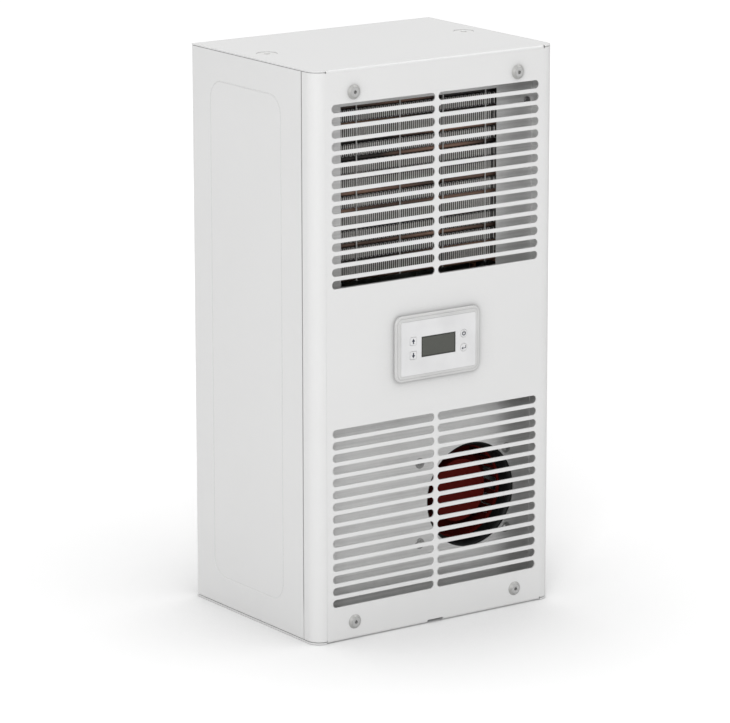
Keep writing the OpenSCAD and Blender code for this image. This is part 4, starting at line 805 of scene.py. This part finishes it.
def cross_headed(section, spots, reach, depth):
    """Turned screws with a cross sunk into the head, set out at some places."""
    x, z = spots[0]
    front = section[0][1]
    screw = turned(section, x, z, steps=32)
    for wide, high in ((reach, CROSS_HALF), (CROSS_HALF, reach)):
        punch(screw, block((x - wide, front - 1, z - high), (x + wide, front + depth, z + high)))
    return set_out(screw, spots)


oiled_zinc = coat("oiled zinc screw", zinc,
                  {"Tint": (0.20, 0.20, 0.20, 1), "Gloss": 0.38, "Crystals": 900.0}, {"Metallic": 0.7})
pan_screws = cross_headed(PAN_SECTION, GUIDE_SCREWS, reach=1.9, depth=1.1)
settle(pan_screws, "guide_pan_screws", oiled_zinc, "casing", "guide_screws")
wide_head_zinc = coat("washer head screw", zinc,
                      {"Tint": (0.34, 0.34, 0.335, 1), "Gloss": 0.36, "Crystals": 900.0},
                      {"Metallic": 0.85})
wide_screws = cross_headed(FLANGED_SECTION, FAN_SCREWS, reach=1.8, depth=1.0)
settle(wide_screws, "fan_washer_screws", wide_head_zinc, "casing", "fan_screws")

# Fan inlet ring. A bell mouth of black moulded plastic behind the round hole, with a flat flange
# that lies on the air guide.
moulded, given, made = effect_group("moulded plastic",
                                    {"Tint": (0.02, 0.02, 0.02, 1), "Gloss": 0.45, "Grain": 1800.0})
grain = noise(moulded, given["Vector"], given["Grain"])
cloud = noise(moulded, given["Vector"], 40.0)
uneven = spread(moulded, cloud, -0.04, 0.04)
feed(moulded, made["Color"], shade(moulded, given["Tint"], spread(moulded, cloud, 0.96, 1.04)))
feed(moulded, made["Roughness"], sum_of(moulded, "ADD", given["Gloss"], uneven))
feed(moulded, made["Height"], grain)
black_plastic = coat("black plastic", moulded, {"Tint": (0.020, 0.023, 0.023, 1), "Gloss": 0.34}, {})

BELL_STEPS = 10
BELL_END = 48.5
BELL_NARROWS = 5.6
BELL_DEPTH, BACK_DEPTH = 14.4, 12.8
BACK_RADIUS = 53.9
BELL_FLANGE = [(54.9, 35.7), (55.1, 35.5), (55.1, 34.1)]
quarter = [math.radians(90 * step / BELL_STEPS) for step in range(BELL_STEPS + 1)]
mouth, back = [[(radius - BELL_NARROWS * math.sin(turn), BELL_END - depth * math.cos(turn))
                for turn in quarter]
               for radius, depth in ((FAN_HOLE, BELL_DEPTH), (BACK_RADIUS, BACK_DEPTH))]
ring = turned(mouth + back[::-1] + BELL_FLANGE, FAN_X, FAN_Z, steps=96)
matt_black = coat("matt black plastic", moulded, {"Tint": (0.008, 0.009, 0.009, 1), "Gloss": 0.4},
                  {"Specular IOR Level": 0.18})
settle(ring, "fan_bell_mouth", matt_black, "casing", "fan_inlet_ring")

# Fan wheel. A drum with thirty-six forward-curved blades between a front ring and a rear disc,
# moulded in dark red plastic with a closed hub cup; a steel shaft carries it.
def refined(node, name, material, body="casing", width=0.2, steps=2):
    """The node's own shape with its facets joined and its edges a little rounded."""
    piece = bpy.data.objects.new(name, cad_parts[node].data.copy())
    bpy.context.scene.collection.objects.link(piece)
    edit(piece)
    weld(0.002)
    bpy.ops.mesh.select_all(action="SELECT")
    bpy.ops.mesh.dissolve_limited(angle_limit=math.radians(0.5))
    leave()
    if width:
        break_edges(piece, width, steps, above=30, clamp=True)
    settle(piece, name, material, body, node)
    return piece


red_plastic = coat("dark red plastic", moulded, {"Tint": (0.098, 0.006, 0.004, 1), "Gloss": 0.55},
                   {"Specular IOR Level": 0.06})
refined("ambient_impeller", "fan_wheel", red_plastic, "ambient_fan", width=0.15)
dress(black_plastic, "ambient_motor")

# Condenser. One flat tube wound in eleven passes, darkened by its flux, with folded aluminium
# fins between the passes, thin straps across the front and a sheet bracket at each end.
COIL_MIDDLE = 49
COIL_LEFT, COIL_RIGHT = -94.3, 92.8
COIL_REACH = 5.5
BEND_REACH = 14
LOUVRE_HALF = 10
MARGIN_BLUR = 0.35
LOUVRE_PAINTED_SHADE = 0.05
END_BAND_X, END_BAND_TONE, END_BAND_HALF, END_BAND_BLUR = 93.4, 0.2, 1.0, 0.3
PASS_LOW, PASS_PITCH = 340.4, 16.5
BEND_PAINTED_SHADE, BEND_FROM, BEND_TO = 0.3, 2.9, 3.9
STRAPS, STRAP_X, STRAP_STEP, STRAP_HALF = 4, -66, 50.3, 0.9
STRAP_SLIM = 0.25


def longer(piece, start, end, share=None):
    """Carry the points between two places along X towards the coil's longer right end."""
    edit(piece)
    pick("VERT", lambda place, vertex: start < place.x < end)
    if share is None:
        bpy.ops.transform.translate(value=(COIL_REACH * MM, 0, 0))
    else:
        bpy.ops.transform.resize(value=(share, 1, 1), center_override=at(COIL_LEFT, 0, 0))
    leave()


def away_from(tree, socket, middle):
    """How far a value is from a middle, either way."""
    return sum_of(tree, "ABSOLUTE", sum_of(tree, "SUBTRACT", socket, middle))


def blend(tree, share, first, second):
    node = tree.nodes.new("ShaderNodeMix")
    node.data_type = "RGBA"
    feed(tree, node.inputs["Factor"], share)
    feed(tree, node.inputs["A"], first)
    feed(tree, node.inputs["B"], second)
    return node.outputs["Result"]


DARK_FLUX, BROWN_FLUX = (0.016, 0.013, 0.012, 1), (0.24, 0.145, 0.105, 1)
tube_skin = coat("fluxed tube", moulded, {"Gloss": 0.32}, {"Metallic": 0.4})
tree = tube_skin.node_tree
spot = tree.nodes.new("ShaderNodeTexCoord").outputs["Object"]
streaks = noise(tree, drawn_out(tree, spot, (6.0, 1.0, 26.0)), 1.0, 2.0)
stain = spread(tree, streaks, 0.0, 1.0, 0.42, 0.62)
colour = blend(tree, stain, DARK_FLUX, BROWN_FLUX)
tree.links.new(colour, tree.nodes["Principled BSDF"].inputs["Base Color"])
tube = refined("condenser_tube", "coil_tube", tube_skin, width=0)
longer(tube, COIL_RIGHT - 1, COIL_RIGHT + BEND_REACH)

# The fins are folded from foil: a plain margin at the front and the back, and between them a painted
# shade stands in for the cut louvres. The foil close to the tube gets a painted shade too, and a narrow
# band near the right end is darker.
fin_foil = coat("louvred aluminium foil", zinc,
                {"Tint": (0.92, 0.90, 0.875, 1), "Gloss": 0.5, "Crystals": 500.0, "Lines": 0.10},
                {"Metallic": 0.15}, depth=0.01)
tree = fin_foil.node_tree
spot = places(tree)
# Painted shade: the foil's colour is darkened between the front and back margins, for the louvres.
louvre_painted_shade = spread(tree, away_from(tree, spot["Y"], FACE_Y + COIL_MIDDLE * MM), LOUVRE_PAINTED_SHADE, 1.0,
                (LOUVRE_HALF - MARGIN_BLUR) * MM, LOUVRE_HALF * MM)
# A narrow band near the right end of the fins is darker.
end_band = spread(tree, away_from(tree, spot["X"], END_BAND_X * MM), END_BAND_TONE, 1.0,
                  END_BAND_HALF * MM, (END_BAND_HALF + END_BAND_BLUR) * MM)
# Painted shade: the foil's colour is darkened close to the tube.
rows = sum_of(tree, "DIVIDE", sum_of(tree, "SUBTRACT", spot["Z"], PASS_LOW * MM), PASS_PITCH * MM)
from_tube = sum_of(tree, "PINGPONG", rows, 0.5)
bend_painted_shade = spread(tree, from_tube, BEND_PAINTED_SHADE, 1.0, BEND_FROM / PASS_PITCH, BEND_TO / PASS_PITCH)
darken(fin_foil, sum_of(tree, "MULTIPLY", sum_of(tree, "MULTIPLY", louvre_painted_shade, end_band), bend_painted_shade))
fins = bpy.data.objects.new("coil_fins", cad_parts["condenser_fins"].data.copy())
bpy.context.scene.collection.objects.link(fins)
longer(fins, COIL_LEFT - BEND_REACH, COIL_RIGHT + BEND_REACH, 1 + COIL_REACH / (COIL_RIGHT - COIL_LEFT))
settle(fins, "coil_fins", fin_foil, "casing", "condenser_fins")
strap_steel = coat("dull strap", zinc,
                   {"Tint": (0.46, 0.455, 0.45, 1), "Gloss": 0.45, "Crystals": 600.0},
                   {"Metallic": 0.4})
straps = refined("condenser_straps", "coil_straps", strap_steel, width=0)
edit(straps)
for number in range(STRAPS):
    for side in (-1, 1):
        edge_x = STRAP_X + number * STRAP_STEP + side * STRAP_HALF
        pick("VERT", lambda place, vertex: by(place.x, edge_x))
        bpy.ops.transform.translate(value=(-side * STRAP_SLIM * MM, 0, 0))
leave()
break_edges(straps, width=0.15)
brackets = refined("condenser_brackets", "coil_brackets", zinc_sheet, width=0.12)
longer(brackets, COIL_RIGHT, COIL_RIGHT + BEND_REACH)

# Evaporator fins and the compressor's capacitor. The fins are pressed from aluminium foil and
# pushed on the tubes; the capacitor stands in a drawn can of bare aluminium in the control tray.
foil = coat("aluminium foil", zinc, {"Tint": (0.66, 0.65, 0.64, 1), "Gloss": 0.5, "Crystals": 500.0},
            {"Metallic": 0.5})
dress(foil, "evaporator_fins")
bare_aluminium = coat("bare aluminium", zinc,
                      {"Tint": (0.62, 0.62, 0.61, 1), "Gloss": 0.4, "Crystals": 600.0}, METAL)
dress(bare_aluminium, "run_capacitor")

# Plastic parts inside, the drain and the power inlet. Black mouldings, matt from the tool; the
# inlet sits in its carrier behind the rear wall, the rest is clipped or screwed on.
dress(black_plastic, "terminal_cover", "cabinet_inlet_ring", "cabinet_impeller", "cabinet_motor",
      "drip_tray", "drain_socket", "board_components")
refined("power_inlet", "power_socket", black_plastic, width=0.35, steps=3)

# Rubber and foam. The gasket on the rear wall, the foam on the partition, the pipe's sleeve and
# the compressor's feet are black, open and dull.
soft_rubber = coat("black foam rubber", moulded,
                   {"Tint": (0.02, 0.02, 0.02, 1), "Gloss": 0.8, "Grain": 900.0}, {}, depth=0.2)
dress(soft_rubber, "compressor_grommets", "insulation", "suction_line")
refined("rear_gasket", "wall_gasket", soft_rubber, width=0.8, steps=3)

# Compressor. A deep-drawn steel can, welded shut and enamelled black, on a foot plate that is
# bolted to the base through four grommets.
black_enamel = coat("black enamel", moulded,
                    {"Tint": (0.012, 0.012, 0.012, 1), "Gloss": 0.25, "Grain": 500.0}, {})
refined("compressor", "compressor_can", black_enamel, width=0.8, steps=3)

# Refrigerant pipes and the drier. Bent copper tube, brazed from the compressor to the coils;
# bright but for a light brown bloom.
copper = coat("copper pipe", moulded, {"Tint": (0.72, 0.36, 0.22, 1), "Gloss": 0.3}, METAL)
dress(copper, "filter_drier", "discharge_line", "liquid_line", "capillary_tube", "evaporator_tubes")

# Circuit boards. Green glass fibre board; one stands on pillars in the control tray, the other
# lies behind the display.
board_green = coat("green circuit board", moulded, {"Tint": (0.02, 0.12, 0.05, 1), "Gloss": 0.35}, {})
dress(board_green, "control_board", "display_board")

# Lifting inserts. Two steel rivet nuts in the top of the chassis, seen through the hood's round
# openings; clear zinc, almost as light as the paint.
RIM_FROM, RIM_TO, RIM_LOW = 7, 12, 548.4
RIM_SPREAD = 1.12
RIM_RISE = 0.7
pale_zinc = coat("clear zinc", zinc, {"Tint": (0.74, 0.74, 0.73, 1), "Gloss": 0.45, "Crystals": 900.0},
                 {"Metallic": 0.3})
inserts = refined("lifting_nuts", "lifting_inserts", pale_zinc, width=0.3, steps=3)
edit(inserts)
for side in (-1, 1):
    middle = Vector((side * LIFT_X, LIFT_Y, 0))
    pick("VERT", lambda place, vertex: RIM_FROM < (place.xy - middle.xy).length < RIM_TO)
    bpy.ops.transform.resize(value=(RIM_SPREAD, RIM_SPREAD, 1), center_override=at(*middle))
    pick("VERT", lambda place, vertex: (place.xy - middle.xy).length < RIM_TO and place.z > RIM_LOW)
    bpy.ops.transform.translate(value=(0, 0, RIM_RISE * MM))
leave()

# Nuts, guard and screws of the rear wall. Plated steel; the nuts are pressed into the wall, and
# the guard is bent and welded wire, held by four pan head screws.
refined("mounting_nuts", "wall_nuts", plated, width=0.25, steps=3)
refined("guard_screws", "guard_pan_screws", plated, width=0.2)
dress(plated, "inlet_guard")

# Display frame. A light grey plastic bezel clipped into the hood, with a sloping front, rounded
# shoulders and a skirt with four hooks behind; the film lies in its recess.
DISPLAY_Z = PANEL_MIDDLE
BEZEL_W, BEZEL_H, BEZEL_ROUND = 99, 64, 8
BEZEL_Y = (-2.0, -0.5)
BACK_RIM, BACK_DEEPER = 0.9, 0.5
FRONT_STEPS = ((0.8, 0.9), (1.3, 0.1), (0.5, -0.55), (0.5, 1.05), (1.7, 0.3), (0.9, 0))
BEZEL_EDGE = 0.2
FRONT_Y = -3.8
FILM = 0.5
FACE_BACK = -1.3
SKIRT_W, SKIRT_H, SKIRT_WALL, SKIRT_Y = 84, 50, 1.5, (-1.6, 15)
HOOK_X, HOOK_Z, HOOK_HALF_W, HOOK_HALF_H, HOOK_Y = 21, 25.6, 4.5, 0.6, (1.65, 3.15)
BODY_HOLE = (22.15, 12.15)
KEY_X = 29.6
KEY_Z = 6.85
KEY_W = 7.4
KEY_ROUND = 1.2
KEY_GAP = 0.3


def rounded(piece, corner, steps):
    """Round the edges of a piece that run along Y."""
    edit(piece)
    pick("EDGE", lambda place, edge: along(edge, "y"))
    bpy.ops.mesh.bevel(offset=corner * MM, segments=steps, affect="EDGES")
    leave()
    return piece


def slab(wide, high, front, back, corner, steps):
    """Plate about the display's middle with round corners."""
    return rounded(plate(0, DISPLAY_Z, (front, back), (wide / 2, high / 2)), corner, steps)


def key_prism(side, level, front, back, grow):
    """Square on the left, round on the right."""
    x, z = side * KEY_X, DISPLAY_Z + level * KEY_Z
    half = KEY_W / 2 + grow
    if side > 0:
        return rod(x, z, front, back, half, sides=48)
    return rounded(plate(x, z, (front, back), (half, half)), KEY_ROUND + grow, steps=5)


def merge(piece, *others):
    for other in others:
        work(piece, "BOOLEAN", operation="UNION", solver="EXACT", object=other)
        bpy.data.objects.remove(other)


KEYS = {"key_up": (-1, 1), "key_down": (-1, -1), "key_set": (1, 1), "key_return": (1, -1)}
bezel = slab(BEZEL_W, BEZEL_H, *BEZEL_Y, BEZEL_ROUND, steps=12)
edit(bezel)
pick("FACE", lambda place, face: face.normal.y > 0.9)
bpy.ops.mesh.inset(thickness=BACK_RIM * MM, depth=0)
bpy.ops.mesh.extrude_region_move(TRANSFORM_OT_translate={"value": (0, BACK_DEEPER * MM, 0)})
pick("FACE", lambda place, face: face.normal.y < -0.9 and place.y < BEZEL_Y[0] + 0.1)
for inward, forward in FRONT_STEPS:
    bpy.ops.mesh.inset(thickness=inward * MM, depth=forward * MM)
bpy.ops.mesh.extrude_region_move(TRANSFORM_OT_translate={"value": (0, FILM * MM, 0)})
pick("EDGE", lambda place, edge: place.y < BEZEL_Y[0] + 0.1 and abs(run(edge).y) < 0.1
     and edge.calc_face_angle(0) > 0.25)
bpy.ops.mesh.bevel(offset=BEZEL_EDGE * MM, segments=3, affect="EDGES")
leave()
merge(bezel, slab(SKIRT_W, SKIRT_H, *SKIRT_Y, corner=2, steps=5))
merge(bezel, *[plate(side * HOOK_X, DISPLAY_Z + way * HOOK_Z, HOOK_Y, (HOOK_HALF_W, HOOK_HALF_H))
               for side in (-1, 1) for way in (-1, 1)])
hollow_w, hollow_h = SKIRT_W - 2 * SKIRT_WALL, SKIRT_H - 2 * SKIRT_WALL
punch(bezel, slab(hollow_w, hollow_h, FACE_BACK, SKIRT_Y[1] + 1, corner=0.5, steps=2))
through = [plate(0, DISPLAY_Z, (-4, 0), BODY_HOLE)]
through += [key_prism(side, level, -4, 0, KEY_GAP) for side, level in KEYS.values()]
punch(bezel, join(*through))
bezel_plastic = coat("light grey display plastic", moulded,
                     {"Tint": (0.61, 0.61, 0.605, 1), "Gloss": 0.42}, {})
settle(bezel, "display_bezel", bezel_plastic, "casing", "display_frame")

# Display film. A printed sheet, almost white, with a clear window for the screen and openings for
# the keys; it is stuck into the recess of the frame.
FILM_W, FILM_H, FILM_ROUND = 87.3, 52.3, 2
SCREEN_HALF = (20, 10)
film = slab(FILM_W, FILM_H, FRONT_Y, FRONT_Y + FILM, FILM_ROUND, steps=6)
windows = [plate(0, DISPLAY_Z, (-5, 0), SCREEN_HALF)]
windows += [key_prism(side, level, -5, 0, KEY_GAP) for side, level in KEYS.values()]
punch(film, join(*windows))
break_edges(film, width=0.06)
film_print = coat("printed film", moulded,
                  {"Tint": (0.74, 0.74, 0.745, 1), "Gloss": 0.4, "Grain": 900.0}, {})
settle(film, "display_print", film_print, "casing", "display_film")

# Screen. A grey-green liquid crystal pane, glued up from two glasses, with a darker rim, in a
# black body that is held behind the film by the frame.
PANE_HALF, PANE_Y = (19.85, 9.85), (-3.6, -1.2)
PANE_RIM, PANE_STEP, PANE_SUNK = 1.1, 0.15, 0.12
BODY_HALF, BODY_Y = (21.85, 11.85), (-3.29, 4.15)
PICTURE_X, PICTURE_Z = 18.6, 8.6
RIM_SHADE = 0.42
pane = plate(0, DISPLAY_Z, PANE_Y, PANE_HALF)
edit(pane)
pick("FACE", lambda place, face: face.normal.y < -0.9)
bpy.ops.mesh.inset(thickness=PANE_RIM * MM, depth=0)
bpy.ops.mesh.inset(thickness=PANE_STEP * MM, depth=-PANE_SUNK * MM)
leave()
merge(pane, plate(0, DISPLAY_Z, BODY_Y, BODY_HALF))
liquid = coat("liquid crystal", moulded, {"Tint": (0.069, 0.072, 0.062, 1), "Gloss": 0.16}, {},
              depth=0.004)
tree = liquid.node_tree
spot = places(tree)
wide = sum_of(tree, "LESS_THAN", away_from(tree, spot["X"], 0.0), PICTURE_X * MM)
high = sum_of(tree, "LESS_THAN", away_from(tree, spot["Z"], DISPLAY_Z * MM), PICTURE_Z * MM)
darken(liquid, spread(tree, sum_of(tree, "MULTIPLY", wide, high), RIM_SHADE, 1.0, 0.0, 1.0))
settle(pane, "display_pane", liquid, "casing", "display_screen")

# Keys. Four short-stroke caps of the same light plastic, each with a collar that keeps it in the
# frame and a stem on the board's switch: square ones with arrows on the left, round ones on the
# right; the signs are printed in dark blue-grey.
CAP_Y = (-4.05, -1)
CAP_EDGE = 0.25
COLLAR_Y, COLLAR_GROW = (-1.001, -0.2), 1
STEM_Y, STEM_RADIUS = (-0.201, 2.6), 1.5
SIGN_SIZE = 1.35
INK = 0.06
for name, (side, level) in KEYS.items():
    cap = key_prism(side, level, *CAP_Y, grow=0)
    break_edges(cap, CAP_EDGE, steps=3)
    stem = rod(side * KEY_X, DISPLAY_Z + level * KEY_Z, *STEM_Y, STEM_RADIUS, sides=24)
    merge(cap, key_prism(side, level, *COLLAR_Y, COLLAR_GROW), stem)
    settle(cap, name.replace("key", "cap"), film_print, name, name)


def sign(name, body, *shapes):
    """Printed sign on a key: thin flat shapes, each given by its corners in millimetres."""
    x, z = KEYS[body][0] * KEY_X, DISPLAY_Z + KEYS[body][1] * KEY_Z
    parts = []
    for shape in shapes:
        part = outline(*[(x + SIGN_SIZE * across, CAP_Y[0], z + SIGN_SIZE * up)
                         for across, up in shape])
        edit(part)
        bpy.ops.mesh.normals_make_consistent(inside=False)
        leave()
        parts.append(part)
    mark = join(*parts)
    work(mark, "SOLIDIFY", thickness=INK * MM, offset=0)
    settle(mark, name, ink, body)


def arc_band(radius, wide, start, end, steps=20):
    """Corners of a band along part of a circle; the angles are in degrees."""
    turns = [math.radians(start + (end - start) * step / steps) for step in range(steps + 1)]
    outer, inner = [[(reach * math.cos(turn), reach * math.sin(turn)) for turn in turns]
                    for reach in (radius + wide / 2, radius - wide / 2)]
    return outer + inner[::-1]


ink = coat("dark printed sign", moulded, {"Tint": (0.02, 0.025, 0.045, 1), "Gloss": 0.45}, {},
           depth=0.005)
for body, way in (("key_up", 1), ("key_down", -1)):
    sign(body.replace("key", "arrow"), body, [(-1.5, -0.2 * way), (1.5, -0.2 * way), (0, 1.9 * way)],
         [(-0.5, -0.2 * way), (0.5, -0.2 * way), (0.5, -1.9 * way), (-0.5, -1.9 * way)])
sign("set_sign", "key_set", arc_band(1.3, 0.75, 122, 418),
     [(-0.35, 0.1), (0.35, 0.1), (0.35, 1.9), (-0.35, 1.9)])
sign("return_sign", "key_return", [(-2.0, -0.5), (-0.7, 0.6), (-0.7, -1.6)],
     [(-0.7, -0.25), (-0.7, -0.75), (1.8, -0.75), (1.8, 1.4), (1.3, 1.4), (1.3, -0.25)])
